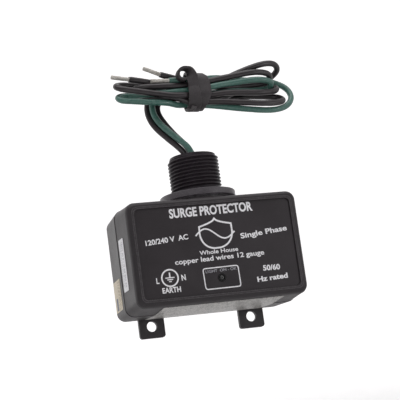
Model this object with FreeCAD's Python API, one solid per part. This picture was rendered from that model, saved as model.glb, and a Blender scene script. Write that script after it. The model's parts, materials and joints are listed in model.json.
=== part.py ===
import FreeCAD, Part
import math
import os
from FreeCAD import Vector as V

# Whole house surge protector: a two-shell plastic housing with two wall tabs, a threaded
# conduit nipple with a round locknut, three bundled wire leads and the surge parts inside.
# Frame, in millimetres: origin at the centre of the rear mounting face, +X to the right seen
# from the front, +Y towards the wall, +Z up along the conduit nipple.

# ---------------------------------------------------------------- driving dimensions
DEPTH = 48.5                    # front rim to rear face
Y_FRONT = -DEPTH
Y_CREASE = Y_FRONT + 2.98       # where the rounded front lip meets the side walls
Y_SEAM = -24.8                  # joint of the two shells, on the nipple axis

# Outlines as (half width, half height, corner radius)
CREASE = (44.20, 26.37, 4.76)
SEAM = (45.14, 27.31, 4.72)
BACK = (44.28, 26.45, 4.31)
INSIDE = (41.9, 24.4, 3.2)
PANEL = (40.26, 22.45, 2.6)     # recess in the front face
INSIDE_W, INSIDE_H, INSIDE_R = INSIDE

LIP = [(2.4, 0), (1.5, 0.28), (0.75, 0.92), (0.28, 1.85)]  # (inset from crease, depth from rim)
FRONT_STEP = 0.25               # front shell set in from the rear one at the joint
SEAM_INSET, SEAM_BEVEL = 0.6, 0.35      # V groove round the joint: inset, depth each side
BACK_FILLET = 1.9
FRONT_WALL, REAR_WALL = 2.6, 2.6
PANEL_DEPTH, OVERLAY_T, PANEL_GAP = 0.70, 0.25, 0.12
Y_PANEL = Y_FRONT + PANEL_DEPTH
Y_INNER = Y_PANEL + FRONT_WALL  # inner face of the front wall

GROOVE_INSET, GROOVE_W, GROOVE_DEPTH = 1.75, 1.0, 0.95     # gasket groove in the joint face
GROOVE_END_X, GASKET_END_X = 16.2, 16.5                    # both stop beside the nipple

SIDES = (-1, 1)
CORNER_X, CORNER_Z = 38.3, 20.5
CORNERS = [(sx * CORNER_X, sz * CORNER_Z) for sx in SIDES for sz in SIDES]
BOARD_POSTS = [(-32, 16), (32, 16), (-32, -19), (32, -19)]

TAB_X, TAB_W, TAB_T = 27.0, 13.45, 2.5
TAB_BOTTOM, TAB_HOLE_Z, TAB_HOLE_R, TAB_CORNER = -36.3, -30.3, 2.7, 1.5

NIPPLE_Y = Y_SEAM
PITCH = 25.4 / 14.0             # 3/4-14 straight conduit thread
R_MAJOR, R_ROOT, R_BORE, R_NECK = 13.15, 11.80, 9.40, 12.6
Z_NIPPLE_TOP = 52.4
PAD_R, PAD_Z = 17.4, 27.7       # round pad on top of the housing

WIRE_R = 3.2 / 2                # over the insulation
WIRE_Y = -26.5                  # depth where the leads enter the terminal block

PCB_W, PCB_T, PCB_Z0, PCB_Z1 = 35.0, 1.6, -22.0, 19.0      # PCB_W is a half width
PCB_FRONT = Y_FRONT + 15.0
PCB_BACK = PCB_FRONT + PCB_T
SEAT = PCB_BACK + 0.01          # parts on the back of the board start here
LED_X, LED_Z = 0.0, -14.8
LED_LEAD_OFFSETS = (-1.27, 1.27)


# ---------------------------------------------------------------- helpers
def save(name, shape):
    solids = shape.Solids
    if not solids:
        raise RuntimeError(name + " has no solid")
    result = solids[0] if len(solids) == 1 else Part.Compound(solids)
    result.exportStep("parts/" + name + ".step")


def box(x0, x1, y0, y1, z0, z1):
    return Part.makeBox(x1 - x0, y1 - y0, z1 - z0, V(x0, y0, z0))


def cyl_x(radius, x, y, z, length):
    return Part.makeCylinder(radius, length, V(x, y, z), V(1, 0, 0))


def cyl_y(radius, x, y, z, length):
    return Part.makeCylinder(radius, length, V(x, y, z), V(0, 1, 0))


def cyl_z(radius, x, y, z, length):
    return Part.makeCylinder(radius, length, V(x, y, z), V(0, 0, 1))


def rounded_rect(half_w, half_h, radius, y):
    """Rounded rectangle wire in the XZ plane at depth y."""
    cx, cz = half_w - radius, half_h - radius
    arcs = []
    for x, z, start in [(cx, cz, 0), (-cx, cz, 90), (-cx, -cz, 180), (cx, -cz, 270)]:
        angles = [math.radians(start + turn) for turn in (0, 45, 90)]
        arcs.append([V(x + radius * math.cos(t), y, z + radius * math.sin(t)) for t in angles])
    edges = []
    for i, arc in enumerate(arcs):
        edges.append(Part.Arc(*arc).toShape())
        edges.append(Part.LineSegment(arc[2], arcs[(i + 1) % 4][0]).toShape())
    return Part.Wire(edges)


def section(outline, inset, y):
    return tuple(size - inset for size in outline) + (y,)


def loft(sections, ruled=True):
    return Part.makeLoft([rounded_rect(*s) for s in sections], True, ruled)


def prism(outline, y0, y1, inset=0.0):
    return loft([section(outline, inset, y0), section(outline, inset, y1)])


def plate(points, push):
    """Flat polygon pushed out along a vector."""
    corners = [V(*p) for p in points]
    return Part.Face(Part.makePolygon(corners + corners[:1])).extrude(V(*push))


def fillet(shape, radius, pick):
    edges = [e for e in shape.Edges if pick(e)]
    # Guards against edges that can't take the radius: the shape then stays sharp.
    try:
        rounded = shape.makeFillet(radius, edges)
        return rounded if rounded.isValid() else shape
    except Exception:
        return shape


def runs_along(edge, axis):
    """True if the edge's ends differ only along the axis: 0, 1, 2 for X, Y, Z."""
    start, end = edge.Vertexes[0].Point, edge.Vertexes[-1].Point
    return all(abs(start[i] - end[i]) < 1e-6 for i in range(3) if i != axis)


def first_solid(shape):
    return shape.Solids[0] if shape.Solids else shape


def sweep(points, radius):
    """Round rod through the points, as short straight lengths with mitred joints."""
    path = [V(*p) for p in points]
    circle = Part.Wire([Part.Circle(path[0], path[1] - path[0], radius).toShape()])
    return first_solid(Part.makePolygon(path).makePipeShell([circle], True, False, 1))


def along(points, step=0.5):
    """Points about every step along the polyline."""
    out = []
    for a, b in zip(points[:-1], points[1:]):
        a, b = V(*a), V(*b)
        n = max(1, int((b - a).Length / step))
        out += [a + (b - a) * (i / n) for i in range(n)]
    return out + [V(*points[-1])]


def helix_ridge(r_base, r_tip, half_base, half_tip, turns, z, angle):
    """Helical ridge; its centre line starts at height z and at the given angle, in degrees.

    Its base is sunk slightly into the surface it stands on.
    """
    sink = 0.05
    r_sunk = r_base - math.copysign(sink, r_tip - r_base)
    half_sunk = half_base + abs((half_base - half_tip) / (r_tip - r_base)) * sink
    profile = Part.makePolygon([V(r_sunk, 0, -half_sunk), V(r_tip, 0, -half_tip),
                                V(r_tip, 0, half_tip), V(r_sunk, 0, half_sunk),
                                V(r_sunk, 0, -half_sunk)])
    helix = Part.Wire(Part.makeHelix(PITCH, turns * PITCH, r_base))
    ridge = first_solid(helix.makePipeShell([profile], True, True))
    ridge.rotate(V(0, 0, 0), V(0, 0, 1), angle)
    ridge.translate(V(0, 0, z))
    return ridge


def cut_cross(screw, x, z, y0, y1, half_length, half_width):
    """Cross recess cut into a screw head between depths y0 and y1."""
    for dx, dz in ((half_length, half_width), (half_width, half_length)):
        screw = screw.cut(box(x - dx, x + dx, y0, y1, z - dz, z + dz))
    return screw


# ---------------------------------------------------------------- housing
def top_pad(y0, y1):
    """Slice of the round pad under the locknut."""
    base = SEAM[1] - 3.0
    return cyl_z(PAD_R, 0, NIPPLE_Y, base, PAD_Z - base).common(box(-30, 30, y0, y1, 20, 40))


def neck_hole(y0, y1):
    """Slice of the hole for the nipple's neck."""
    return cyl_z(R_NECK + 0.1, 0, NIPPLE_Y, 15, 20).common(box(-30, 30, y0, y1, 23.9, 40))


def corner_rib(x, z, y0, y1):
    """Rib from a corner boss to the nearer side wall."""
    wall_x = math.copysign(INSIDE_W + 0.3, x)
    return box(min(x, wall_x), max(x, wall_x), y0, y1, z - 1.0, z + 1.0)


def seam_ring(play, y0, y1, end_x):
    """Ring of the gasket groove, thinner by the play on each side, open at the nipple."""
    outer = prism(SEAM, y0, y1, GROOVE_INSET + play)
    ring = outer.cut(prism(SEAM, Y_SEAM - 2, Y_SEAM + 2, GROOVE_INSET + GROOVE_W - play))
    return ring.cut(box(-end_x, end_x, -60, 10, 20, 40))


def front_housing():
    bevel_start = section(SEAM, FRONT_STEP, Y_SEAM - SEAM_BEVEL)
    lip = [section(CREASE, inset, Y_FRONT + depth) for inset, depth in LIP]
    shell = loft(lip + [section(CREASE, 0, Y_CREASE)], False)
    wall = loft([section(CREASE, 0.10, Y_CREASE), bevel_start])
    bevel = loft([bevel_start, section(SEAM, SEAM_INSET, Y_SEAM)])
    shell = shell.fuse([wall, bevel])
    shell = shell.fuse(top_pad(Y_CREASE + 0.3, Y_SEAM))
    shell = shell.cut(prism(INSIDE, Y_INNER, Y_SEAM + 1))
    shell = shell.cut(prism(PANEL, Y_FRONT - 1, Y_PANEL + OVERLAY_T))

    # screw bosses in the corners, then the board posts
    foot = Y_INNER - 0.3
    added, holes = [], []
    for x, z in CORNERS:
        added.append(cyl_y(3.1, x, foot, z, Y_SEAM - foot))
        added.append(corner_rib(x, z, foot, Y_SEAM))
        holes.append(cyl_y(1.40, x, Y_SEAM - 16, z, 17))
    for x, z in BOARD_POSTS:
        added.append(cyl_y(2.6, x, foot, z, PCB_FRONT - foot))
        holes.append(cyl_y(1.05, x, PCB_FRONT - 8, z, 9))
    shell = shell.fuse(added).cut(holes)

    shell = shell.cut(neck_hole(Y_FRONT, Y_SEAM + 1))
    shell = shell.cut(seam_ring(0, Y_SEAM - GROOVE_DEPTH, Y_SEAM + 1, GROOVE_END_X))
    shell = shell.cut(cyl_y(2.15, LED_X, Y_FRONT - 1, LED_Z, 8))
    return shell.removeSplitter()


def housing_gasket():
    return seam_ring(0.06, Y_SEAM - 0.90, Y_SEAM - 0.02, GASKET_END_X)


def wall_tab(x):
    tab = box(x - TAB_W / 2, x + TAB_W / 2, -TAB_T, 0, TAB_BOTTOM, -INSIDE_H - 0.4)
    return fillet(tab, TAB_CORNER, lambda e: runs_along(e, 1)
                  and abs(e.Vertexes[0].Point.z - TAB_BOTTOM) < 1e-6)


def rear_housing():
    bevel_end = section(SEAM, 0, Y_SEAM + SEAM_BEVEL)
    bevel = loft([section(SEAM, SEAM_INSET, Y_SEAM), bevel_end])
    wall = loft([bevel_end, section(BACK, 0, 0.0)])
    wall = fillet(wall, BACK_FILLET, lambda e: all(abs(v.Point.y) < 1e-6 for v in e.Vertexes))
    shell = wall.fuse(bevel)
    shell = shell.fuse(top_pad(Y_SEAM, -1.0))
    shell = shell.cut(prism(INSIDE, Y_SEAM - 1, -REAR_WALL))
    shell = shell.fuse([wall_tab(side * TAB_X) for side in SIDES])

    # corner bosses with counterbored screw holes
    boss_limit = prism((INSIDE_W + 1, INSIDE_H + 1, INSIDE_R), Y_SEAM, -0.5)
    holes = [cyl_y(TAB_HOLE_R, side * TAB_X, -TAB_T - 1, TAB_HOLE_Z, TAB_T + 2)
             for side in SIDES]
    added = []
    for x, z in CORNERS:
        added.append(cyl_y(3.4, x, Y_SEAM, z, -Y_SEAM - 0.5).common(boss_limit))
        added.append(corner_rib(x, z, Y_SEAM, -REAR_WALL + 0.2))
        holes.append(cyl_y(1.75, x, Y_SEAM - 1, z, -Y_SEAM + 2))
        holes.append(cyl_y(2.9, x, -3.2, z, 5))
    shell = shell.fuse(added).cut(holes)
    shell = shell.cut(neck_hole(Y_SEAM - 1, 0))
    return shell.removeSplitter()


def housing_screws():
    head_y, shank_y = -3.15, Y_SEAM - 13.5
    screws = []
    for x, z in CORNERS:
        screw = cyl_y(2.65, x, head_y, z, 2.1)
        screw = screw.fuse(cyl_y(1.35, x, shank_y, z, head_y + 0.05 - shank_y))
        screws.append(cut_cross(screw, x, z, -1.9, 0, 1.6, 0.35))
    return Part.Compound(screws)


def insulating_sheet():
    """Sheet inside the rear wall, notched round the corner bosses."""
    outline = (INSIDE_W - 0.6, INSIDE_H - 0.6, INSIDE_R - 0.4)
    notch = 4.6
    sheet = prism(outline, -REAR_WALL - 0.45, -REAR_WALL - 0.02)
    for x, z in CORNERS:
        sheet = sheet.cut(box(x - notch, x + notch, -6, 0, z - notch, z + notch))
    return sheet


# ---------------------------------------------------------------- front overlay and labels
LABEL_GAP = 0.03                # clearance off the housing wall
SIDE_LABEL_T, RATING_LABEL_T = 0.12, 0.14
RATING_X0, RATING_W = -30.5, 62.4


def front_overlay():
    overlay = prism(PANEL, Y_PANEL, Y_PANEL + OVERLAY_T - 0.01, PANEL_GAP)
    return overlay.cut(cyl_y(2.2, LED_X, Y_FRONT - 1, LED_Z, 5))


def x_side(y):
    """Half width of the outside wall at depth y."""
    if y <= Y_SEAM:
        growth = SEAM[0] - FRONT_STEP - CREASE[0]
        return CREASE[0] + growth * (y - Y_CREASE) / (Y_SEAM - SEAM_BEVEL - Y_CREASE)
    growth = BACK[0] - SEAM[0]
    return SEAM[0] + growth * (y - Y_SEAM - SEAM_BEVEL) / (-Y_SEAM - SEAM_BEVEL)


def z_side(y):
    return x_side(y) - SEAM[0] + SEAM[1]


def left_label(y0, y1, z0, z1):
    """Label on the -X wall."""
    x0, x1 = -x_side(y0) - LABEL_GAP, -x_side(y1) - LABEL_GAP
    corners = [(x0, y0, z0), (x1, y1, z0), (x1, y1, z1), (x0, y0, z1)]
    return plate(corners, (-SIDE_LABEL_T, 0, 0))


def serial_label():
    label = left_label(Y_FRONT + 12.5, Y_FRONT + 21.2, -14.95, 11.35)
    return fillet(label, 0.9, lambda e: runs_along(e, 0))


def date_label():
    return left_label(Y_FRONT + 28.6, -2.2, -22.1, -6.4)


def rating_label():
    """Label under the housing, bent over the joint."""
    front, back = Y_CREASE + 0.9, -4.2
    inner = [(front, -z_side(front) - LABEL_GAP), (Y_SEAM, -SEAM[1] - LABEL_GAP),
             (back, -z_side(back) - LABEL_GAP)]
    outer = [(y, z - RATING_LABEL_T) for y, z in reversed(inner)]
    return plate([(RATING_X0, y, z) for y, z in inner + outer], (RATING_W, 0, 0))


# ---------------------------------------------------------------- nipple, washer and locknut
CREST_Z, CREST_ANGLE = 50.40, -17.0     # a thread crest and its angle about the nipple axis
THREAD_Z = CREST_Z - PITCH * CREST_ANGLE / 360.0 - 12 * PITCH      # thread start, at angle 0
Z_FLANGE, FLANGE_TOP, FLANGE_HALF = 20.4, 23.2, 14.6
WASHER_R, WASHER_T = 16.6, 0.6
NUT_RIM_R, NUT_SKIRT_R, NUT_BORE_R = 19.4, 17.7, R_MAJOR + 0.20
Z_NUT, Z_NUT_RIM, Z_NUT_TOP = PAD_Z + WASHER_T, 28.75, 32.15
NUT_ANGLE = -110.0              # start of the nut's ridge, half a pitch off the nipple's
SCALLOPS, SCALLOP_R = 16, 1.5


def conduit_nipple():
    base = PAD_Z + 0.5
    nipple = cyl_z(R_ROOT, 0, 0, base, Z_NIPPLE_TOP - base)
    nipple = nipple.fuse(helix_ridge(R_ROOT, R_MAJOR, half_base=0.72, half_tip=0.14,
                                     turns=12.5, z=THREAD_Z, angle=0.0))
    nipple = nipple.fuse(cyl_z(R_NECK, 0, 0, Z_FLANGE, base + 0.05 - Z_FLANGE))
    half_y = FLANGE_HALF - 1.0
    flange = box(-FLANGE_HALF, FLANGE_HALF, -half_y, half_y, Z_FLANGE, FLANGE_TOP)
    flange = fillet(flange, 2.0, lambda e: runs_along(e, 2))
    nipple = nipple.fuse(flange).cut(cyl_z(R_BORE, 0, 0, 10, 60))
    nipple.translate(V(0, NIPPLE_Y, 0))
    return nipple


def nipple_gasket():
    gasket = cyl_z(15.8, 0, NIPPLE_Y, FLANGE_TOP + 0.05, 1.1)
    gasket = gasket.cut(cyl_z(R_NECK + 0.08, 0, NIPPLE_Y, 20, 6))
    return gasket.common(box(-20, 20, NIPPLE_Y - 13.4, NIPPLE_Y + 13.4, 20, 30))


def locknut_washer():
    washer = cyl_z(WASHER_R, 0, NIPPLE_Y, PAD_Z + 0.01, WASHER_T - 0.02)
    return washer.cut(cyl_z(NUT_BORE_R, 0, NIPPLE_Y, 20, 20))


def locknut():
    rim = cyl_z(NUT_RIM_R, 0, 0, Z_NUT_RIM, Z_NUT_TOP - Z_NUT_RIM)
    rim = fillet(rim, 0.35, lambda e: e.BoundBox.ZLength < 1e-6 and e.BoundBox.XLength > 30)
    skirt = cyl_z(NUT_SKIRT_R, 0, 0, Z_NUT, Z_NUT_RIM - Z_NUT + 0.5)
    scallops = []
    for k in range(SCALLOPS):
        angle = 2 * math.pi * k / SCALLOPS
        x = math.cos(angle) * (NUT_SKIRT_R + 0.55)
        y = math.sin(angle) * (NUT_SKIRT_R + 0.55)
        scallops.append(cyl_z(SCALLOP_R, x, y, Z_NUT - 1, Z_NUT_RIM - Z_NUT + 1))
    nut = rim.fuse(skirt.cut(scallops))
    nut = nut.cut(cyl_z(NUT_BORE_R, 0, 0, 20, 30))
    ridge_z = THREAD_Z + PITCH / 2 + PITCH * NUT_ANGLE / 360.0
    nut = nut.fuse(helix_ridge(NUT_BORE_R, R_ROOT + 0.28, half_base=0.70, half_tip=0.18,
                               turns=1.3, z=ridge_z, angle=NUT_ANGLE))
    nut.translate(V(0, NIPPLE_Y, 0))
    return nut


# ---------------------------------------------------------------- wire leads
# Centre lines as (x, y, z), from the terminal block to the cut end of the insulation.
GROUND_PATH = [
    (0.00, -26.50, 10.00), (0.19, -26.66, 16.74), (1.14, -27.91, 23.32), (1.23, -28.03, 27.04),
    (1.04, -27.91, 33.81), (0.81, -28.10, 40.55), (0.29, -27.92, 47.28), (-0.75, -27.20, 53.92),
    (-2.02, -26.56, 57.12), (-4.49, -25.64, 60.45), (-9.01, -24.30, 65.29), (-13.12, -22.75, 70.42),
    (-15.22, -21.23, 74.40), (-16.08, -19.85, 78.04), (-16.16, -18.93, 81.47),
    (-15.88, -18.79, 83.20), (-15.37, -18.98, 84.61), (-14.60, -19.46, 85.86),
    (-13.64, -20.15, 86.81), (-12.53, -20.99, 87.34), (-10.54, -22.56, 87.54),
    (-7.13, -24.25, 87.51), (-4.21, -24.90, 87.40), (2.53, -24.92, 86.79), (9.26, -24.92, 86.26),
    (15.99, -25.23, 85.73), (22.72, -25.62, 85.72), (27.91, -25.10, 86.29), (34.56, -23.89, 86.37),
    (41.19, -22.84, 86.59), (45.05, -22.86, 86.85), (46.46, -23.33, 87.12), (47.31, -24.23, 87.66),
    (47.88, -25.24, 88.29), (47.68, -26.34, 88.99), (47.07, -27.34, 89.63), (45.90, -28.09, 90.10),
    (41.63, -29.01, 90.62), (34.93, -29.10, 90.51), (28.21, -28.67, 90.01), (21.49, -28.71, 89.31),
    (14.83, -28.80, 88.30), (8.15, -28.15, 87.41), (1.41, -28.39, 87.05), (-5.32, -28.07, 86.82),
    (-12.02, -27.22, 86.86), (-18.72, -26.40, 86.82), (-25.36, -25.13, 86.81),
    (-30.74, -24.31, 87.08), (-32.84, -24.52, 86.91), (-34.05, -25.17, 86.41),
    (-34.91, -25.99, 85.77), (-34.99, -27.01, 84.96), (-34.64, -28.05, 84.14),
    (-33.60, -28.86, 83.50), (-32.34, -29.45, 83.02), (-27.60, -29.96, 82.34),
    (-20.90, -29.57, 81.72), (-14.21, -28.78, 81.32), (-8.41, -27.35, 80.82),
    (-3.86, -25.36, 80.18), (-0.90, -24.71, 80.38), (2.10, -24.70, 80.33), (8.81, -25.08, 79.66),
    (15.49, -25.47, 78.80), (22.02, -26.52, 77.41), (28.57, -27.47, 76.06), (35.23, -27.84, 75.01),
    (41.94, -27.89, 74.25), (48.67, -27.47, 74.33), (52.53, -26.80, 75.18), (55.37, -25.97, 76.54),
    (57.40, -25.08, 78.19), (58.81, -24.12, 80.06), (59.41, -23.40, 81.54), (59.61, -22.65, 83.13),
    (59.41, -21.93, 84.74), (58.81, -21.25, 86.26), (57.55, -20.51, 87.99), (55.69, -19.84, 89.54),
    (52.83, -19.27, 91.00), (47.54, -18.88, 92.44), (40.84, -18.55, 93.23), (34.14, -19.02, 93.90),
    (27.49, -20.08, 94.47), (20.89, -21.40, 95.00), (14.52, -23.55, 94.34), (7.99, -25.07, 93.54),
    (1.33, -26.17, 93.46), (-5.41, -26.60, 93.36), (-7.41, -26.68, 93.35),
]
LINE_1_PATH = [
    (-8.00, -26.50, 10.00), (-8.09, -26.58, 13.78), (-7.78, -26.33, 15.43), (-6.86, -25.59, 17.62),
    (-4.00, -23.45, 22.07), (-3.33, -22.98, 23.56), (-3.03, -22.81, 24.94), (-3.13, -23.02, 28.98),
    (-3.20, -22.92, 35.76), (-3.28, -22.75, 42.50), (-3.55, -23.25, 49.23), (-4.26, -23.64, 54.16),
    (-5.41, -23.50, 56.93), (-7.85, -22.76, 60.34), (-12.13, -21.30, 65.35),
    (-15.97, -19.64, 70.64), (-17.65, -18.22, 74.57), (-18.29, -16.88, 78.55),
    (-18.08, -16.00, 82.19), (-17.32, -15.67, 85.09), (-16.16, -15.64, 87.33),
    (-15.02, -15.72, 88.66), (-13.38, -15.90, 89.82), (-11.29, -16.25, 90.66),
    (-8.90, -16.91, 91.03), (-5.70, -18.34, 90.84), (-1.18, -20.29, 90.01), (5.44, -21.23, 89.11),
    (12.18, -21.77, 89.17), (15.30, -22.16, 89.93), (21.42, -23.50, 92.46), (27.64, -24.60, 94.84),
    (33.97, -25.31, 97.07), (40.44, -25.64, 98.98), (47.02, -25.31, 100.37),
    (50.49, -24.66, 100.50), (52.13, -24.06, 100.24), (53.35, -23.28, 99.73),
    (54.11, -22.23, 98.95), (54.40, -21.11, 98.09), (54.37, -19.99, 97.21), (53.85, -18.89, 96.35),
    (51.99, -17.20, 94.95), (49.83, -16.04, 93.75), (47.19, -15.50, 92.47), (40.98, -15.48, 89.79),
    (37.58, -16.17, 88.33), (34.97, -17.36, 87.51), (29.24, -20.92, 86.62), (26.39, -22.02, 85.47),
    (21.99, -22.76, 83.81), (15.87, -23.57, 82.87), (9.17, -24.29, 82.96), (2.47, -23.75, 83.58),
    (-1.06, -22.82, 84.47), (-5.53, -21.06, 87.14), (-10.32, -19.76, 90.02),
    (-16.67, -19.39, 92.32), (-23.29, -19.87, 93.51), (-29.62, -21.30, 93.67),
    (-32.82, -22.68, 93.39), (-34.23, -23.70, 93.00), (-35.21, -24.83, 92.46),
    (-35.60, -26.07, 91.75), (-35.30, -27.22, 91.00), (-34.69, -28.32, 90.24),
    (-33.52, -29.34, 89.47), (-31.50, -30.12, 88.73), (-27.17, -30.65, 87.73),
    (-20.53, -30.42, 86.53), (-13.87, -30.16, 85.44), (-7.21, -30.24, 84.38),
    (-0.96, -30.24, 84.14), (5.32, -28.57, 83.81), (9.25, -27.87, 83.81), (15.97, -28.30, 84.28),
    (22.68, -28.77, 84.58), (29.42, -28.32, 84.47), (36.16, -28.12, 84.12), (42.88, -27.63, 84.03),
    (48.21, -26.34, 84.54), (49.98, -25.52, 85.03), (51.10, -24.63, 85.66), (51.68, -23.51, 86.50),
    (51.66, -22.40, 87.28), (51.22, -21.33, 87.98), (50.19, -20.39, 88.51), (47.56, -19.29, 89.05),
    (44.43, -18.77, 89.42), (37.71, -19.07, 90.22), (30.99, -19.45, 90.48), (24.51, -20.01, 90.38),
    (19.64, -19.57, 91.38), (16.70, -19.47, 92.10), (10.89, -20.90, 92.67), (4.37, -22.25, 93.62),
    (-2.12, -23.42, 95.10), (-8.59, -24.45, 96.70), (-10.98, -24.80, 97.35),
]
LINE_2_PATH = [
    (8.00, -26.50, 10.00), (8.10, -26.59, 13.79), (7.84, -26.36, 15.19), (7.17, -25.74, 16.93),
    (4.33, -23.35, 20.97), (2.95, -22.27, 23.08), (2.51, -21.93, 24.38), (2.33, -21.78, 26.05),
    (2.65, -22.00, 32.95), (2.52, -22.04, 39.67), (1.96, -21.98, 46.40), (0.90, -21.75, 53.06),
    (-0.59, -21.54, 57.83), (-2.90, -21.16, 61.37), (-7.09, -20.31, 66.60), (-10.48, -19.02, 72.28),
    (-12.35, -17.39, 76.91), (-12.79, -16.37, 79.70), (-12.63, -15.80, 81.91),
    (-12.12, -15.60, 83.61), (-11.36, -15.64, 84.90), (-10.29, -15.92, 85.92),
    (-8.99, -16.35, 86.63), (-7.35, -16.90, 87.07), (-4.73, -17.76, 87.08), (1.32, -20.59, 86.10),
    (4.91, -21.53, 85.61), (11.66, -21.69, 85.23), (18.30, -20.59, 85.37), (24.10, -19.04, 85.02),
    (26.77, -18.66, 84.42), (28.69, -18.84, 83.85), (31.57, -19.74, 83.50), (35.20, -20.66, 84.00),
    (38.94, -20.82, 83.95), (45.67, -20.77, 83.40), (49.85, -21.46, 82.83), (51.70, -22.18, 82.33),
    (52.68, -23.07, 81.69), (53.38, -24.12, 80.92), (53.42, -25.28, 80.07), (52.93, -26.37, 79.28),
    (52.01, -27.39, 78.56), (50.28, -28.42, 77.88), (46.96, -29.40, 77.41), (40.51, -30.03, 77.50),
    (33.80, -29.80, 78.18), (27.10, -29.41, 78.98), (20.41, -28.94, 79.77), (13.71, -28.42, 80.31),
    (6.96, -28.35, 80.38), (2.46, -28.11, 80.73), (0.12, -27.79, 81.51), (-3.16, -27.10, 83.24),
    (-9.02, -25.24, 84.41), (-15.49, -23.72, 85.54), (-21.88, -22.24, 87.11),
    (-23.27, -22.09, 87.67), (-24.51, -22.41, 88.57), (-25.08, -23.10, 89.42),
    (-24.99, -24.00, 90.03), (-24.30, -24.96, 90.52), (-22.22, -26.18, 90.68),
    (-17.74, -27.26, 90.43), (-10.99, -27.85, 90.25), (-4.25, -27.59, 90.13), (2.49, -27.52, 90.36),
    (9.19, -27.98, 90.96), (15.87, -27.97, 91.99), (22.54, -28.27, 92.95), (29.22, -28.64, 93.90),
    (35.91, -28.86, 94.73), (42.10, -28.36, 94.91), (45.82, -27.42, 94.50), (47.02, -26.68, 94.02),
    (47.76, -25.71, 93.31), (48.11, -24.64, 92.50), (47.74, -23.64, 91.70), (46.98, -22.80, 91.00),
    (45.67, -22.27, 90.48), (42.33, -22.13, 89.97), (35.66, -22.44, 89.48), (28.94, -22.98, 89.16),
    (22.34, -24.39, 88.92), (17.47, -25.51, 89.02), (11.24, -25.12, 89.49), (4.60, -24.31, 90.43),
    (-2.00, -23.57, 91.61), (-8.67, -23.43, 92.62), (-15.48, -23.17, 93.47),
    (-21.96, -24.93, 94.42), (-28.08, -25.80, 95.34),
]
# (name, centre line, point the bare tip aims at)
WIRES = [
    ("ground", GROUND_PATH, (-17.30, -26.68, 93.62)),
    ("line_1", LINE_1_PATH, (-20.24, -24.80, 101.37)),
    ("line_2", LINE_2_PATH, (-38.02, -25.80, 97.11)),
]
TIP_R, TIP_L = 1.12, 9.9
STRAND_R, STRAND_CIRCLE = 0.42, 0.80
PLUG_Z0, PLUG_Z1 = 26.0, 30.0


def conductor_tip(path, target):
    """Tinned strand end: six strands round a core, from the insulation's cut end."""
    start = V(*path[-1])
    axis = (V(*target) - start).normalize()
    tip = Part.makeCylinder(TIP_R, TIP_L, start, axis)
    side = axis.cross(V(0, 1, 0)).normalize()
    other = axis.cross(side)
    for k in range(6):
        angle = math.radians(60 * k + 15)
        centre = start + side * (STRAND_CIRCLE * math.cos(angle))
        centre += other * (STRAND_CIRCLE * math.sin(angle))
        tip = tip.fuse(Part.makeCylinder(STRAND_R, TIP_L - 0.15 * (k % 3), centre, axis))
    return tip


def at_height(path, z):
    return next(p for p in along(path, 0.05) if p.z >= z)


def wire_seal_plug():
    """Soft plug that seals the leads into the nipple bore."""
    plug = cyl_z(R_BORE - 0.05, 0, NIPPLE_Y, PLUG_Z0, PLUG_Z1 - PLUG_Z0)
    for _, path, _ in WIRES:
        low, high = at_height(path, PLUG_Z0 - 0.5), at_height(path, PLUG_Z1 + 0.5)
        axis = (high - low).normalize()
        plug = plug.cut(Part.makeCylinder(WIRE_R + 0.16, 9.0, low - axis * 2.0, axis))
    return plug


# ---------------------------------------------------------------- strap round the coiled leads
BUNDLE_DIR = V(13.56, 0, -0.764).normalize()    # run of the bundle through the strap
BACK_DIR = V(0, 1, 0)
UP_DIR = BUNDLE_DIR.cross(BACK_DIR)
STRAP_CENTRE = V(7.1, -24.8, 86.5)
STRAP_W, STRAP_T, STRAP_GAP = 11.6, 1.25, 0.28  # width along the bundle, thickness, clearance
CURL_X, CURL_Z, CURL_R, CURL_T = 0.6, 96.6, 3.9, 1.75
CURL_Y, CURL_W = -31.2, 5.4
# (x, z) from the curl's centre
TONGUE = [(0, CURL_R), (2.6, CURL_R - 0.4), (6.6, -1.9), (6.6, -3.9), (4.3, -3.9), (1.8, 1.7)]


def wire_centres():
    """(back, up) offsets of the wire centres within the strap."""
    centres = []
    for _, path, _ in WIRES:
        for point in along(path):
            offset = point - STRAP_CENTRE
            if abs(offset.dot(BUNDLE_DIR)) < STRAP_W / 2 + 0.8 and point.z > 60:
                centres.append((offset.dot(BACK_DIR), offset.dot(UP_DIR)))
    return centres


def hull(points):
    """Convex hull of 2D points."""
    points = sorted(set((round(a, 3), round(b, 3)) for a, b in points))

    def turn(p, q, r):
        return (q[0] - p[0]) * (r[1] - p[1]) - (q[1] - p[1]) * (r[0] - p[0])

    def half(ordered):
        chain = []
        for point in ordered:
            while len(chain) > 1 and turn(chain[-2], chain[-1], point) <= 1e-9:
                chain.pop()
            chain.append(point)
        return chain[:-1]

    return half(points) + half(points[::-1])


BUNDLE_HULL = hull(wire_centres())


def ring_wire(offset, run, count=48):
    """Rounded outline a fixed offset outside the hull, at a distance along the bundle."""
    points = []
    for k in range(count):
        angle = 2 * math.pi * k / count
        c, s = math.cos(angle), math.sin(angle)
        far = max(BUNDLE_HULL, key=lambda q: q[0] * c + q[1] * s)
        point = (STRAP_CENTRE + BUNDLE_DIR * run
                 + BACK_DIR * (far[0] + offset * c) + UP_DIR * (far[1] + offset * s))
        if not points or (point - points[-1]).Length > 0.25:
            points.append(point)
    if (points[0] - points[-1]).Length < 0.25:
        points.pop()
    curve = Part.BSplineCurve()
    curve.interpolate(Points=points, PeriodicFlag=True)
    return Part.Wire([curve.toShape()])


def bundle_core(run0, run1, thickness=0.0):
    """Solid filling the strap's inside, grown by the thickness."""
    face = Part.Face(ring_wire(WIRE_R + STRAP_GAP + thickness, run0))
    return face.extrude(BUNDLE_DIR * (run1 - run0))


def band(run0, run1, thickness):
    return bundle_core(run0, run1, thickness).cut(bundle_core(run0, run1))


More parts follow.
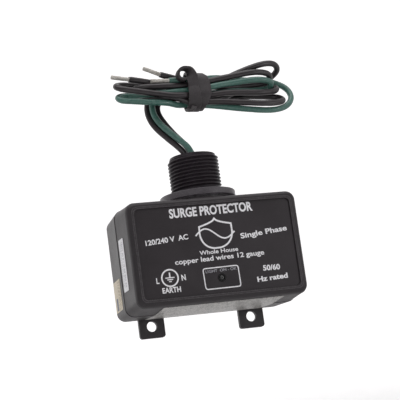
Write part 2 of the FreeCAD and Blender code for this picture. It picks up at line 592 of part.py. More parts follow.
def wire_strap():
    half_w = STRAP_W / 2
    strap = band(-half_w, 0.25, STRAP_T).fuse(band(0.0, half_w, STRAP_T * 0.86))
    core = bundle_core(-half_w - 8, half_w + 8)
    # curled free end above, short cut end below
    curl_bore = cyl_y(CURL_R - CURL_T, CURL_X, -32, CURL_Z, 8)
    curl = cyl_y(CURL_R, CURL_X, CURL_Y, CURL_Z, CURL_W).cut(curl_bore)
    tongue = plate([(CURL_X + x, CURL_Y, CURL_Z + z) for x, z in TONGUE], (0, CURL_W, 0))
    curl = curl.fuse(tongue.cut(curl_bore)).cut(core)
    nub = cyl_y(1.3, 0.4, -30.5, 77.4, 4.2).fuse(box(0.4, 3.6, -30.5, -26.3, 76.6, 78.6))
    strap = strap.fuse([curl, nub.cut(core)])
    return max(strap.Solids, key=lambda solid: solid.Volume)


# ---------------------------------------------------------------- circuit board and indicator
def circuit_board():
    board = box(-PCB_W, PCB_W, PCB_FRONT, PCB_BACK, PCB_Z0, PCB_Z1)
    for x, z in BOARD_POSTS:
        board = board.cut(cyl_y(1.5, x, PCB_FRONT - 1, z, 4))
    for dx in LED_LEAD_OFFSETS:
        board = board.cut(cyl_y(0.45, LED_X + dx, PCB_FRONT - 1, LED_Z, 4))
    return board


def board_screws():
    screws = []
    for x, z in BOARD_POSTS:
        shank = Part.makeCylinder(1.0, 8.0, V(x, PCB_BACK + 0.5, z), V(0, -1, 0))
        screw = cyl_y(2.3, x, SEAT, z, 1.6).fuse(shank)
        screws.append(cut_cross(screw, x, z, PCB_BACK + 1.0, PCB_BACK + 3, 1.5, 0.3))
    return Part.Compound(screws)


def status_led():
    radius, dome_y = 1.45, Y_FRONT + 1.5
    led = cyl_y(radius, LED_X, dome_y, LED_Z, 4.0)
    led = led.fuse(Part.makeSphere(radius, V(LED_X, dome_y, LED_Z)))
    return led.fuse(cyl_y(1.85, LED_X, Y_FRONT + 5.0, LED_Z, 1.0))


def led_leads():
    start = Y_FRONT + 6.01
    return Part.Compound([cyl_y(0.28, LED_X + dx, start, LED_Z, PCB_BACK - start + 0.8)
                          for dx in LED_LEAD_OFFSETS])


def led_bezel():
    bezel = cyl_y(2.1, LED_X, Y_FRONT + 0.45, LED_Z, 2.4)
    return bezel.cut(cyl_y(1.5, LED_X, Y_FRONT, LED_Z, 6))


def led_spacer():
    start = Y_FRONT + 6.05
    spacer = cyl_y(2.9, LED_X, start, LED_Z, PCB_FRONT - 0.01 - start)
    for dx in LED_LEAD_OFFSETS:
        spacer = spacer.cut(cyl_y(0.36, LED_X + dx, Y_FRONT, LED_Z, 30))
    return spacer


def axial_part(x, z, radius, length, half_span):
    """Body and bent leads lying along X on the front of the board."""
    y = PCB_FRONT - radius - 0.6
    wire_r = 0.3
    body = fillet(cyl_x(radius, x - length / 2, y, z, length), 0.35, lambda e: e.Length > 4)
    wire = cyl_x(wire_r, x - half_span, y, z, 2 * half_span)
    for side in SIDES:
        bend_x = x + side * half_span
        wire = wire.fuse(cyl_y(wire_r, bend_x, y, z, PCB_FRONT - y - 0.01))
        wire = wire.fuse(Part.makeSphere(wire_r, V(bend_x, y, z)))
    return body.fuse(wire)


def led_resistors():
    return Part.Compound([axial_part(-16, z, 1.3, 6.4, 5.2) for z in (LED_Z, -9.8)])


def led_diode():
    return axial_part(14, LED_Z, 1.35, 5.0, 4.6)


def filter_capacitor():
    body = box(6, 19, PCB_FRONT - 7.5, PCB_FRONT - 0.02, -2.5, 4.5)
    return fillet(body, 0.6, lambda e: True)


# ---------------------------------------------------------------- terminals and varistors
TERMINAL_XS = (-8, 0, 8)
TERMINAL_SCREW_Z = 9.0
VARISTOR_XS = (-30.0, -22.6, 22.6, 30.0)


def terminal_block():
    block = box(-12.5, 12.5, SEAT, PCB_BACK + 10.4, 4.0, 14.0)
    for x in TERMINAL_XS:
        block = block.cut(cyl_z(1.95, x, WIRE_Y, 8.0, 7))
        screw_hole = cyl_y(1.9, x, PCB_BACK + 6.9, TERMINAL_SCREW_Z, 5)
        block = block.cut(screw_hole.cut(cyl_z(1.95, x, WIRE_Y, 0, 20)))
    return fillet(block, 0.5, lambda e: e.Length > 20)


def terminal_screws():
    screws = []
    z = TERMINAL_SCREW_Z
    for x in TERMINAL_XS:
        slot = box(x - 2, x + 2, PCB_BACK + 9.2, PCB_BACK + 12, z - 0.25, z + 0.25)
        screws.append(cyl_y(1.8, x, PCB_BACK + 8.2, z, 1.9).cut(slot))
    return Part.Compound(screws)


def varistor(x):
    """Metal-oxide disc facing along X, with two leads."""
    z, thickness = -2.0, 5.0
    disc = cyl_x(10.4, x - thickness / 2, PCB_BACK + 12.4, z, thickness)
    disc = fillet(disc, 1.2, lambda e: e.Length > 40)
    for dx, dz in ((-0.9, -3.75), (0.9, 3.75)):
        disc = disc.fuse(cyl_y(0.4, x + dx, PCB_BACK + 0.02, z + dz, 6.0))
    return disc


# ---------------------------------------------------------------- thermal disconnects
# A sprung arm beside each inner varistor, on a pin in a two-eared bracket.
DISCONNECT_XS = (-15.4, 15.4)
PIVOT_Y, PIVOT_Z = PCB_BACK + 4.2, -14.0
ARM_TOP = PIVOT_Z + 20.0
EAR_T = 0.8
COIL_R, COIL_WIRE_R, COIL_STEPS = 1.45, 0.24, 36


def disconnect_bracket(x):
    bracket = box(x - 3.4, x + 3.4, SEAT, PCB_BACK + 1.0, PIVOT_Z - 3.0, PIVOT_Z + 3.0)
    for ear_x in (x - 3.4, x + 3.4 - EAR_T):
        bracket = bracket.fuse(box(ear_x, ear_x + EAR_T, SEAT, PIVOT_Y + 0.2,
                                   PIVOT_Z - 2.2, PIVOT_Z + 2.2))
        bracket = bracket.fuse(cyl_x(2.2, ear_x, PIVOT_Y, PIVOT_Z, EAR_T))
    return bracket.cut(cyl_x(0.96, x - 5, PIVOT_Y, PIVOT_Z, 10))


def disconnect_pin(x):
    pin = cyl_x(0.95, x - 3.9, PIVOT_Y, PIVOT_Z, 7.8)
    return pin.fuse(cyl_x(1.5, x - 4.1, PIVOT_Y, PIVOT_Z, 0.65))


def disconnect_arm(x):
    x0, x1 = x - 0.2, x + 2.4
    arm = box(x0, x1, PIVOT_Y - 0.9, PIVOT_Y + 0.9, PIVOT_Z, ARM_TOP)
    tip = box(x0, x1, PIVOT_Y - 1.9, PIVOT_Y + 0.9, ARM_TOP - 2.0, ARM_TOP)
    hub = cyl_x(1.9, x0, PIVOT_Y, PIVOT_Z, 2.6)
    arm = hub.fuse([arm, tip]).cut(cyl_x(1.0, x - 5, PIVOT_Y, PIVOT_Z, 10))
    return fillet(arm, 0.4, lambda e: abs(e.BoundBox.ZMax - ARM_TOP) < 1e-6
                  and e.BoundBox.ZLength < 1e-6 and e.BoundBox.XLength > 1)


def disconnect_spring(x):
    coil = []
    for i in range(COIL_STEPS + 1):
        angle = 2 * math.pi * i / 12.0
        coil.append((x - 2.32 + 1.84 * i / COIL_STEPS, PIVOT_Y + COIL_R * math.cos(angle),
                     PIVOT_Z + COIL_R * math.sin(angle)))
    return sweep(coil, COIL_WIRE_R)


def disconnect_contact(x):
    """Fixed post the arm tip is soldered to when cold."""
    return box(x - 0.2, x + 2.4, SEAT, PIVOT_Y - 1.94, ARM_TOP - 2.2, ARM_TOP + 0.2)


# ---------------------------------------------------------------- line fuses in spring clips
FUSE_Y = PCB_BACK + 4.3
FUSE_ZS = (-18.6, -9.4)
CAP_XS, CAP_L = (-10.0, 5.62), 4.38
CLIP_XS, CLIP_W = (-9.4, 6.2), 3.2


def fuse_tubes():
    return Part.Compound([cyl_x(2.35, -5.6, FUSE_Y, z, 11.2) for z in FUSE_ZS])


def fuse_caps():
    return Part.Compound([cyl_x(2.6, x, FUSE_Y, z, CAP_L) for z in FUSE_ZS for x in CAP_XS])


def fuse_clip(x, z):
    """C-shaped clip open towards the wall, on a foot."""
    clip = cyl_x(3.1, x, FUSE_Y, z, CLIP_W).cut(cyl_x(2.62, x - 1, FUSE_Y, z, 6))
    clip = clip.cut(box(x - 1, x + 5, FUSE_Y + 0.9, FUSE_Y + 6, z - 4, z + 4))
    return clip.fuse(box(x, x + CLIP_W, SEAT, FUSE_Y - 2.7, z - 1.2, z + 1.2))


def fuse_clips():
    return Part.Compound([fuse_clip(x, z) for z in FUSE_ZS for x in CLIP_XS])


# ---------------------------------------------------------------- write the pieces
os.makedirs("parts", exist_ok=True)

# Each of these functions is named after its file.
for build in (front_housing, housing_gasket, rear_housing, housing_screws, insulating_sheet,
              front_overlay, serial_label, date_label, rating_label,
              conduit_nipple, nipple_gasket, locknut_washer, locknut,
              wire_seal_plug, wire_strap, circuit_board, board_screws,
              status_led, led_leads, led_bezel, led_spacer, led_resistors, led_diode,
              filter_capacitor, terminal_block, terminal_screws,
              fuse_tubes, fuse_caps, fuse_clips):
    save(build.__name__, build())

for name, path, target in WIRES:
    save("wire_" + name, sweep(path, WIRE_R))
    save("conductor_tip_" + name, conductor_tip(path, target))

for number, x in enumerate(VARISTOR_XS, 1):
    save("varistor_%d" % number, varistor(x))

for side, x in zip(("left", "right"), DISCONNECT_XS):
    save("disconnect_arm_" + side, disconnect_arm(x))

for build in (disconnect_bracket, disconnect_pin, disconnect_spring, disconnect_contact):
    save(build.__name__ + "s", Part.Compound([build(x) for x in DISCONNECT_XS]))
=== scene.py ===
"""Whole-house surge protector: a box housing with a threaded nipple, a round locknut and leads.

The printed front panel faces -Y, X runs along its width and +Z is up. The nipple rises from
the top; a green and two black leads leave it, fold into a bundle and are held by a rubber strap.
Pieces are worked out in millimetres and built in metres. The stage, lights and camera are in
metres throughout.
"""
import bpy
import bmesh
import json
import math
import random
import numpy as np
from mathutils import Vector, Matrix, noise
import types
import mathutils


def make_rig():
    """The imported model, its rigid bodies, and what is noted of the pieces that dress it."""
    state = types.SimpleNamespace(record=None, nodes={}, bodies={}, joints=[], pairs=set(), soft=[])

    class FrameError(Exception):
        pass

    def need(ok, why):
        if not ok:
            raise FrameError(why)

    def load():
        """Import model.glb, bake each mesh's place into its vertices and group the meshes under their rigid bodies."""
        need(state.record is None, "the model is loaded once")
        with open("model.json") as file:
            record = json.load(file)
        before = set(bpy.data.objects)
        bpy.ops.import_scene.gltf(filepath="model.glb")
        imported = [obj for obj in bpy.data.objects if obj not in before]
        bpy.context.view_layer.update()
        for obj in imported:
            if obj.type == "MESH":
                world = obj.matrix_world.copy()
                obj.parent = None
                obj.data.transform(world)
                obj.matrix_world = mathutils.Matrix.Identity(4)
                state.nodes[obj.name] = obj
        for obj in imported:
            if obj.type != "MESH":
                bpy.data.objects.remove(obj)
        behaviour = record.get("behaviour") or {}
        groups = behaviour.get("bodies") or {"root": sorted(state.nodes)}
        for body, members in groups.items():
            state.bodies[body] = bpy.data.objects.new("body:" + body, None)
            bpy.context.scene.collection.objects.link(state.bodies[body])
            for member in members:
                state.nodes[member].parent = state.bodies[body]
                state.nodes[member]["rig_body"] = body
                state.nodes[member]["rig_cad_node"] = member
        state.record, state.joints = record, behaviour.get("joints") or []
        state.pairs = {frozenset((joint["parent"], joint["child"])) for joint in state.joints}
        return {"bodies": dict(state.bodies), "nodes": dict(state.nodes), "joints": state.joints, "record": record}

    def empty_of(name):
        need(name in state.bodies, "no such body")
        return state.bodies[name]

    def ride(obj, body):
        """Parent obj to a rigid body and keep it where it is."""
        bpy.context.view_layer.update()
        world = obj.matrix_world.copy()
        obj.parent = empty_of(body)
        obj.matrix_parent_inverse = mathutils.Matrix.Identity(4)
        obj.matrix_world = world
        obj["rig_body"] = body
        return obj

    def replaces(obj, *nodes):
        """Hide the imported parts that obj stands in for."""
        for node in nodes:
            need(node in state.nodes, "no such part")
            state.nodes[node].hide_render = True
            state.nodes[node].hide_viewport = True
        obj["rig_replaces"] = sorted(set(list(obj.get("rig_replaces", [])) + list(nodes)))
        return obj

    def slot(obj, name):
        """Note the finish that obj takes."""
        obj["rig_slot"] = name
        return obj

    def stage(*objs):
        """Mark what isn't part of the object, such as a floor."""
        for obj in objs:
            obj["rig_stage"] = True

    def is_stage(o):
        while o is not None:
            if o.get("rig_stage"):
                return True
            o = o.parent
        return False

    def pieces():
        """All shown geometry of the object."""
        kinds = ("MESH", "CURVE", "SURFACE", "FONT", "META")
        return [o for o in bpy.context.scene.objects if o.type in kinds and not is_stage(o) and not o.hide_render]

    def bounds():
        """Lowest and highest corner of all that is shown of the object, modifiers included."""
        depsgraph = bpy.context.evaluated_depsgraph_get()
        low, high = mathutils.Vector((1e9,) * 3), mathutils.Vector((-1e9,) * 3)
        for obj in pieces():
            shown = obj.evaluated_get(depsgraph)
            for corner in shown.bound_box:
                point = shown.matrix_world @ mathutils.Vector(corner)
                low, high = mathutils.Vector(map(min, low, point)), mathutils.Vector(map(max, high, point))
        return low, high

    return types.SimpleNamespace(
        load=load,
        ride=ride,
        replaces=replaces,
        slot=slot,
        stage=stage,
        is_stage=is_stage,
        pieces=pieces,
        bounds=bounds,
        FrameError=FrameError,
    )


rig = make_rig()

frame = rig.load()
cad_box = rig.bounds()
NODES = frame["nodes"]
SLOT_OF = {part["node"]: part["material_slot"] for part in frame["record"]["subparts"]}
scene = bpy.context.scene
random.seed(7)

# ------------------------------------------------------------------ shared sizes, millimetres
MM = 0.001                # one millimetre in scene units
PANEL_Y = -47.8           # surface of the front panel
RIM_Y = -48.5             # front of the housing rim around the panel
NIPPLE_Y = -24.8          # axis of the nipple and locknut, at x = 0
PITCH = 25.4 / 14.0       # 14 threads per inch
CREST_R = 13.15
ROOT_R = 11.80
BORE_R = 9.40
NECK_R = 12.6
CREST_Z = 50.40 + PITCH * 17.0 / 360.0    # height of a thread crest at angle 0
LEAD_R = 1.6

# Centre lines of the leads from inside the housing to the stripped ends: x, y, z
GREEN = [
    (0, -26.5, 10), (0, -26.5, 14.5), (0.5, -27, 19), (1.2, -28, 24),
    (1.11, -27.87, 30.02), (1, -28, 36.04), (0.81, -28.1, 40.55), (0.49, -28.04, 45.05),
    (0.04, -27.73, 49.55), (-0.76, -27.19, 53.96), (-2.5, -26.36, 57.94), (-5.29, -25.38, 61.32),
    (-8.34, -24.5, 64.55), (-11.24, -23.57, 67.89), (-13.78, -22.38, 71.45),
    (-15.54, -20.86, 75.34), (-16.19, -19.38, 79.55), (-15.69, -18.83, 83.84),
    (-13.55, -20.22, 86.87), (-9.96, -22.79, 87.59), (-5.71, -24.62, 87.47),
    (-1.13, -24.99, 87.12), (3.48, -24.88, 86.7), (7.96, -24.89, 86.36), (12.38, -25.02, 86.02),
    (16.82, -25.28, 85.73), (21.26, -25.58, 85.63), (25.67, -25.46, 86.14), (30.25, -24.63, 86.33),
    (34.89, -23.84, 86.37), (39.5, -23.06, 86.5), (44.09, -22.77, 86.78), (47.88, -24.08, 87.55),
    (48.05, -26.6, 89.15), (44.49, -28.48, 90.34), (39.85, -29.17, 90.68), (35.27, -29.12, 90.53),
    (30.78, -28.83, 90.21), (26.28, -28.59, 89.84), (21.71, -28.62, 89.35), (17.11, -28.85, 88.66),
    (12.68, -28.47, 87.99), (8.3, -28.15, 87.42), (3.76, -28.26, 87.14), (-0.86, -28.44, 86.94),
    (-5.28, -28.07, 86.82), (-9.72, -27.45, 86.8), (-14.22, -27.01, 86.9), (-18.71, -26.4, 86.82),
    (-23.17, -25.56, 86.78), (-27.68, -24.63, 86.98), (-32.2, -24.41, 86.99),
    (-35.38, -25.89, 85.86), (-34.7, -28.26, 83.97), (-30.87, -29.72, 82.77),
    (-26.32, -29.95, 82.2), (-21.78, -29.65, 81.79), (-17.29, -29.2, 81.47),
    (-12.8, -28.54, 81.26), (-8.33, -27.33, 80.91), (-3.93, -25.42, 80.33), (0.67, -24.64, 80.42),
    (5.02, -24.98, 80), (9.45, -25.09, 79.6), (13.95, -25.31, 79.06), (18.37, -25.88, 78.22),
    (22.71, -26.64, 77.25), (27.05, -27.3, 76.34), (31.44, -27.69, 75.57), (35.89, -27.85, 74.92),
    (40.39, -27.9, 74.38), (44.91, -27.79, 74.12), (49.41, -27.37, 74.43), (53.69, -26.5, 75.64),
    (57.26, -25.15, 78.05), (59.39, -23.43, 81.47), (59.21, -21.64, 85.38), (56.75, -20.18, 88.75),
    (52.91, -19.28, 90.97), (48.54, -18.95, 92.26), (44.1, -18.63, 92.89), (39.63, -18.57, 93.36),
    (35.15, -18.9, 93.81), (30.69, -19.53, 94.2), (26.32, -20.3, 94.57), (21.97, -21.15, 94.93),
    (17.65, -22.49, 94.78), (13.31, -23.92, 94.14), (8.8, -24.92, 93.59), (4.22, -25.74, 93.47),
    (-0.18, -26.33, 93.45), (-4.43, -26.56, 93.37), (-7.41, -26.68, 93.35),
]
BLACK_1 = [
    (-8, -26.5, 10), (-8, -26.5, 14.5), (-5.7, -24.7, 19.5), (-3.2, -22.9, 24),
    (-3.21, -23.09, 30.01), (-3.2, -22.9, 36.03), (-3.24, -22.74, 40.54), (-3.35, -22.85, 45.05),
    (-3.57, -23.29, 49.56), (-4.22, -23.64, 54), (-6.03, -23.34, 57.97), (-8.78, -22.44, 61.41),
    (-11.66, -21.46, 64.79), (-14.42, -20.43, 68.24), (-16.65, -19.18, 71.93),
    (-17.99, -17.73, 75.95), (-18.28, -16.42, 80.22), (-17.49, -15.7, 84.6),
    (-15.25, -15.7, 88.44), (-11.42, -16.24, 90.62), (-7.11, -17.65, 91), (-3.04, -19.65, 90.35),
    (1.23, -20.81, 89.62), (5.68, -21.25, 89.09), (10.16, -21.56, 89.01), (14.51, -22.09, 89.66),
    (18.62, -22.83, 91.37), (22.76, -23.83, 92.93), (26.92, -24.49, 94.57), (31.14, -25.04, 96.1),
    (35.4, -25.42, 97.53), (39.72, -25.63, 98.79), (44.14, -25.58, 99.88), (48.7, -25.05, 100.51),
    (52.89, -23.62, 99.97), (54.72, -20.99, 98), (52.95, -17.97, 95.6), (49.41, -15.9, 93.54),
    (45.34, -15.41, 91.64), (41.22, -15.46, 89.9), (37.05, -16.37, 88.14), (32.74, -18.77, 87.14),
    (28.42, -21.25, 86.23), (24.32, -22.47, 84.6), (20.25, -22.93, 83.39), (15.92, -23.57, 82.88),
    (11.45, -24.18, 82.82), (7.03, -24.26, 83.13), (2.61, -23.78, 83.56), (-1.48, -22.69, 84.67),
    (-5.1, -21.27, 86.82), (-8.75, -20.09, 89.19), (-12.78, -19.51, 91.04), (-17.03, -19.4, 92.42),
    (-21.43, -19.66, 93.3), (-25.93, -20.3, 93.67), (-30.43, -21.59, 93.63),
    (-34.33, -23.8, 92.96), (-35.81, -26.73, 91.37), (-33.59, -29.3, 89.5),
    (-29.42, -30.5, 88.2), (-24.93, -30.65, 87.3), (-20.46, -30.42, 86.52),
    (-16.03, -30.2, 85.8), (-11.71, -30.16, 85.06), (-7.49, -30.22, 84.4), (-3.13, -30.36, 84.17),
    (1.54, -29.72, 84.01), (6.21, -28.31, 83.77), (10.79, -27.83, 83.89), (15.22, -28.19, 84.23),
    (19.63, -28.74, 84.49), (24.17, -28.69, 84.6), (28.78, -28.36, 84.5), (33.33, -28.19, 84.26),
    (37.84, -28.06, 84.05), (42.37, -27.7, 84.01), (46.93, -26.75, 84.35), (50.84, -24.88, 85.48),
    (52.05, -22.27, 87.42), (49.34, -19.96, 88.72), (45, -18.83, 89.36), (40.54, -18.9, 89.85),
    (36.02, -19.13, 90.31), (31.51, -19.37, 90.42), (27.05, -19.83, 90.21), (22.77, -19.98, 90.66),
    (18.56, -19.48, 91.64), (14.07, -20.03, 92.41), (9.4, -21.34, 92.75), (4.85, -22.17, 93.52),
    (0.53, -22.92, 94.5), (-3.75, -23.71, 95.48), (-8.1, -24.38, 96.57), (-10.98, -24.8, 97.35),
]
BLACK_2 = [
    (8, -26.5, 10), (8, -26.5, 14.5), (5.5, -24.3, 19.5), (2.6, -22, 24),
    (2.57, -21.94, 30.01), (2.6, -22, 36.03), (2.48, -22.05, 40.54), (2.11, -22.02, 45.03),
    (1.54, -21.88, 49.51), (0.7, -21.72, 53.95), (-0.76, -21.51, 58.17), (-3.27, -21.09, 61.82),
    (-6.12, -20.53, 65.27), (-8.62, -19.86, 68.97), (-10.76, -18.85, 72.84),
    (-12.34, -17.41, 76.86), (-12.75, -15.99, 81.03), (-11.39, -15.64, 84.87),
    (-8.07, -16.66, 86.93), (-3.93, -18.13, 86.98), (0.13, -20.12, 86.3), (4.3, -21.44, 85.68),
    (8.72, -21.72, 85.33), (13.28, -21.57, 85.23), (17.92, -20.69, 85.36), (22.65, -19.43, 85.25),
    (27.26, -18.69, 84.32), (31.55, -19.79, 83.67), (35.75, -20.73, 84.04), (40.2, -20.78, 83.84),
    (44.76, -20.72, 83.48), (49.29, -21.31, 82.93), (52.99, -23.18, 81.62), (53.62, -25.92, 79.59),
    (50.7, -28.24, 77.99), (46.29, -29.53, 77.37), (41.71, -30, 77.42), (37.21, -29.98, 77.8),
    (32.73, -29.74, 78.3), (28.24, -29.47, 78.84), (23.74, -29.21, 79.4), (19.24, -28.84, 79.89),
    (14.74, -28.48, 80.26), (10.22, -28.33, 80.38), (5.71, -28.33, 80.4), (1.37, -27.99, 81.03),
    (-2.62, -27.26, 82.94), (-6.91, -25.88, 84.02), (-11.21, -24.66, 84.66),
    (-15.53, -23.71, 85.55), (-19.96, -22.73, 86.59), (-24.24, -22.2, 88.22),
    (-25.99, -23.5, 90.06), (-23.13, -25.79, 90.7), (-18.66, -27.12, 90.49),
    (-14.14, -27.66, 90.26), (-9.63, -27.87, 90.25), (-5.03, -27.66, 90.13),
    (-0.44, -27.37, 90.22), (3.96, -27.65, 90.45), (8.31, -27.96, 90.85), (12.76, -27.95, 91.49),
    (17.24, -28.01, 92.2), (21.72, -28.22, 92.84), (26.18, -28.48, 93.47), (30.63, -28.71, 94.1),
    (35.1, -28.85, 94.65), (39.67, -28.7, 94.95), (44.28, -27.88, 94.73), (47.97, -26.02, 93.57),
    (48.21, -23.52, 91.64), (44.64, -22.14, 90.28), (40.02, -22.25, 89.77), (35.56, -22.44, 89.48),
    (31.23, -22.7, 89.29), (26.79, -23.34, 89.05), (22.23, -24.37, 88.94), (17.72, -25.46, 89.02),
    (13.29, -25.3, 89.31), (8.94, -24.75, 89.8), (4.62, -24.31, 90.43), (0.2, -23.78, 91.19),
    (-4.29, -23.44, 92.02), (-8.82, -23.44, 92.64), (-13.34, -23.74, 93.17),
    (-17.8, -24.27, 93.77), (-22.19, -24.97, 94.46), (-26.59, -25.64, 95.14),
    (-28.08, -25.8, 95.34),
]
# The first black lead is pushed towards +X around this height
BLACK_1 = [
    (x + (0.8 * math.exp(-((z - 54.0) / 3.6) ** 2) if 40 < z < 66 else 0.0), y, z)
    for x, y, z in BLACK_1
]
# name, centre line, insulation, noise seed, raggedness of the cut end, point the bare strands
# aim at, twist of the strands in radians
LEADS = [
    ("ground", GREEN, "green_insulation", 1.3, 0.25, (-17.30, -26.68, 93.62), 2.4),
    ("line_1", BLACK_1, "black_insulation", 5.1, 0.8, (-20.24, -24.80, 101.37), 1.6),
    ("line_2", BLACK_2, "black_insulation", 9.7, 0.8, (-38.02, -25.80, 97.11), 1.9),
]

# ------------------------------------------------------------------ shader helpers
# Sockets of the Mix node when it mixes colours
MIX_FACTOR, MIX_A, MIX_B, MIX_RESULT = 0, 6, 7, 2


def feed(tree, socket, value):
    """Links a socket into an input, or sets the input to a plain value."""
    if isinstance(value, bpy.types.NodeSocket):
        tree.links.new(value, socket)
    else:
        socket.default_value = value


def add_node(tree, kind, inputs):
    made = tree.nodes.new("ShaderNode" + kind)
    for key, value in inputs.items():
        feed(tree, made.inputs[key], value)
    return made


def set_surface(tree, inputs):
    for key, value in inputs.items():
        feed(tree, tree.nodes["Principled BSDF"].inputs[key], value)


def new_material(name):
    material = bpy.data.materials.new(name)
    material.use_nodes = True
    return material, material.node_tree


def coords(tree, scale=(1, 1, 1)):
    where = add_node(tree, "TexCoord", {}).outputs["Object"]
    return add_node(tree, "Mapping", {"Scale": scale, "Vector": where}).outputs["Vector"]


def noise_tex(tree, vector, scale, detail, rough):
    inputs = {"Scale": scale, "Detail": detail, "Roughness": rough, "Vector": vector}
    return add_node(tree, "TexNoise", inputs).outputs["Fac"]


def ramp(tree, factor, *stops):
    """Two-stop colour ramp; each stop is (position, grey level or RGB)."""
    made = add_node(tree, "ValToRGB", {"Fac": factor})
    for element, (position, color) in zip(made.color_ramp.elements, stops):
        if not isinstance(color, tuple):
            color = (color,) * 3
        element.position = position
        element.color = (*color, 1.0)
    return made.outputs["Color"]


def map_range(tree, value, source, target):
    return add_node(tree, "MapRange", {
        "From Min": source[0], "From Max": source[1],
        "To Min": target[0], "To Max": target[1], "Value": value,
    }).outputs["Result"]


def mix_color(tree, factor, first, second, blend="MIX"):
    made = tree.nodes.new("ShaderNodeMix")
    made.data_type = "RGBA"
    made.blend_type = blend
    for key, value in ((MIX_FACTOR, factor), (MIX_A, first), (MIX_B, second)):
        feed(tree, made.inputs[key], value)
    return made.outputs[MIX_RESULT]


def add_bump(tree, height, strength, depth):
    """Bump on the surface normal; depth in millimetres."""
    made = add_node(tree, "Bump",
                    {"Strength": strength, "Distance": depth * MM, "Height": height})
    set_surface(tree, {"Normal": made.outputs["Normal"]})


# ------------------------------------------------------------------ materials
def grain(name, dark, light, rough=(0.38, 0.5), fine=3200, coarse=260, bump=0.25, depth=0.06,
          metallic=0.0, coat=0.0, coat_rough=0.2, spec=0.5, wear=0.0, wear_col=(0, 0, 0),
          scale=(1, 1, 1)):
    """A moulded or coated surface: fine grain, slow tone drift, uneven gloss and rubbed edges.

    dark, light: limits of the tone drift       rough: roughness range
    fine, coarse: noise scales                  bump, depth: grain strength and depth, mm
    wear, wear_col: amount and colour of wear on sharply convex edges
    """
    material, tree = new_material(name)
    vector = coords(tree, scale)
    slow = noise_tex(tree, vector, coarse, detail=4.0, rough=0.6)
    speckle = noise_tex(tree, vector, fine, detail=2.0, rough=0.6)
    tone = ramp(tree, slow, (0.30, dark), (0.72, light))
    shade = ramp(tree, speckle, (0.35, 0.72), (0.65, 1.25))
    color = mix_color(tree, 0.55, tone, shade, blend="MULTIPLY")
    if wear > 0:
        sharpness = add_node(tree, "NewGeometry", {}).outputs["Pointiness"]
        worn = map_range(tree, sharpness, (0.53, 0.66), (0.0, wear))
        color = mix_color(tree, worn, color, (*wear_col, 1.0))
    set_surface(tree, {
        "Base Color": color,
        "Roughness": map_range(tree, slow, (0.3, 0.7), rough),
        "Metallic": metallic,
        "IOR": 1.5,
        "Specular IOR Level": spec,
        "Coat Weight": coat,
        "Coat Roughness": coat_rough,
    })
    add_bump(tree, speckle, bump, depth)
    return material


def ink(name, dark, light, rough=(0.5, 0.6), bump=0.1):
    return grain(name, dark, light, rough=rough, fine=4200, coarse=600, bump=bump, depth=0.02)


def lens():
    material, tree = new_material("led_lens")
    mottle = noise_tex(tree, coords(tree), 900, detail=3.0, rough=0.5)
    set_surface(tree, {
        "Base Color": ramp(tree, mottle, (0.3, (0.016, 0.017, 0.017)), (0.7, (0.030, 0.031, 0.030))),
        "Roughness": 0.2,
        "Coat Weight": 0.25,
        "Coat Roughness": 0.05,
    })
    add_bump(tree, mottle, strength=0.1, depth=0.04)
    return material


def rating_film():
    """Silver-grey film covered in tiny print that only reads as speckle."""
    material, tree = new_material("rating_film")
    vector = coords(tree)
    cells = add_node(tree, "TexVoronoi", {"Scale": 1500.0, "Vector": vector}).outputs["Color"]
    rows = noise_tex(tree, coords(tree, (1.0, 1.4, 1.0)), 900, detail=1.0, rough=0.4)
    drift = noise_tex(tree, vector, 90, detail=2.0, rough=0.5)
    print_tone = ramp(tree, cells, (0.36, (0.10, 0.098, 0.095)), (0.54, (0.45, 0.44, 0.42)))
    film_tone = ramp(tree, drift, (0.35, (0.34, 0.335, 0.32)), (0.7, (0.46, 0.45, 0.43)))
    mask = ramp(tree, rows, (0.34, 0.0), (0.46, 0.85))
    set_surface(tree, {
        "Base Color": mix_color(tree, mask, film_tone, print_tone),
        "Specular IOR Level": 0.32,
        "Roughness": map_range(tree, drift, (0.3, 0.7), (0.30, 0.42)),
        "Coat Weight": 0.06,
        "Coat Roughness": 0.12,
    })
    add_bump(tree, drift, strength=0.15, depth=0.1)
    return material


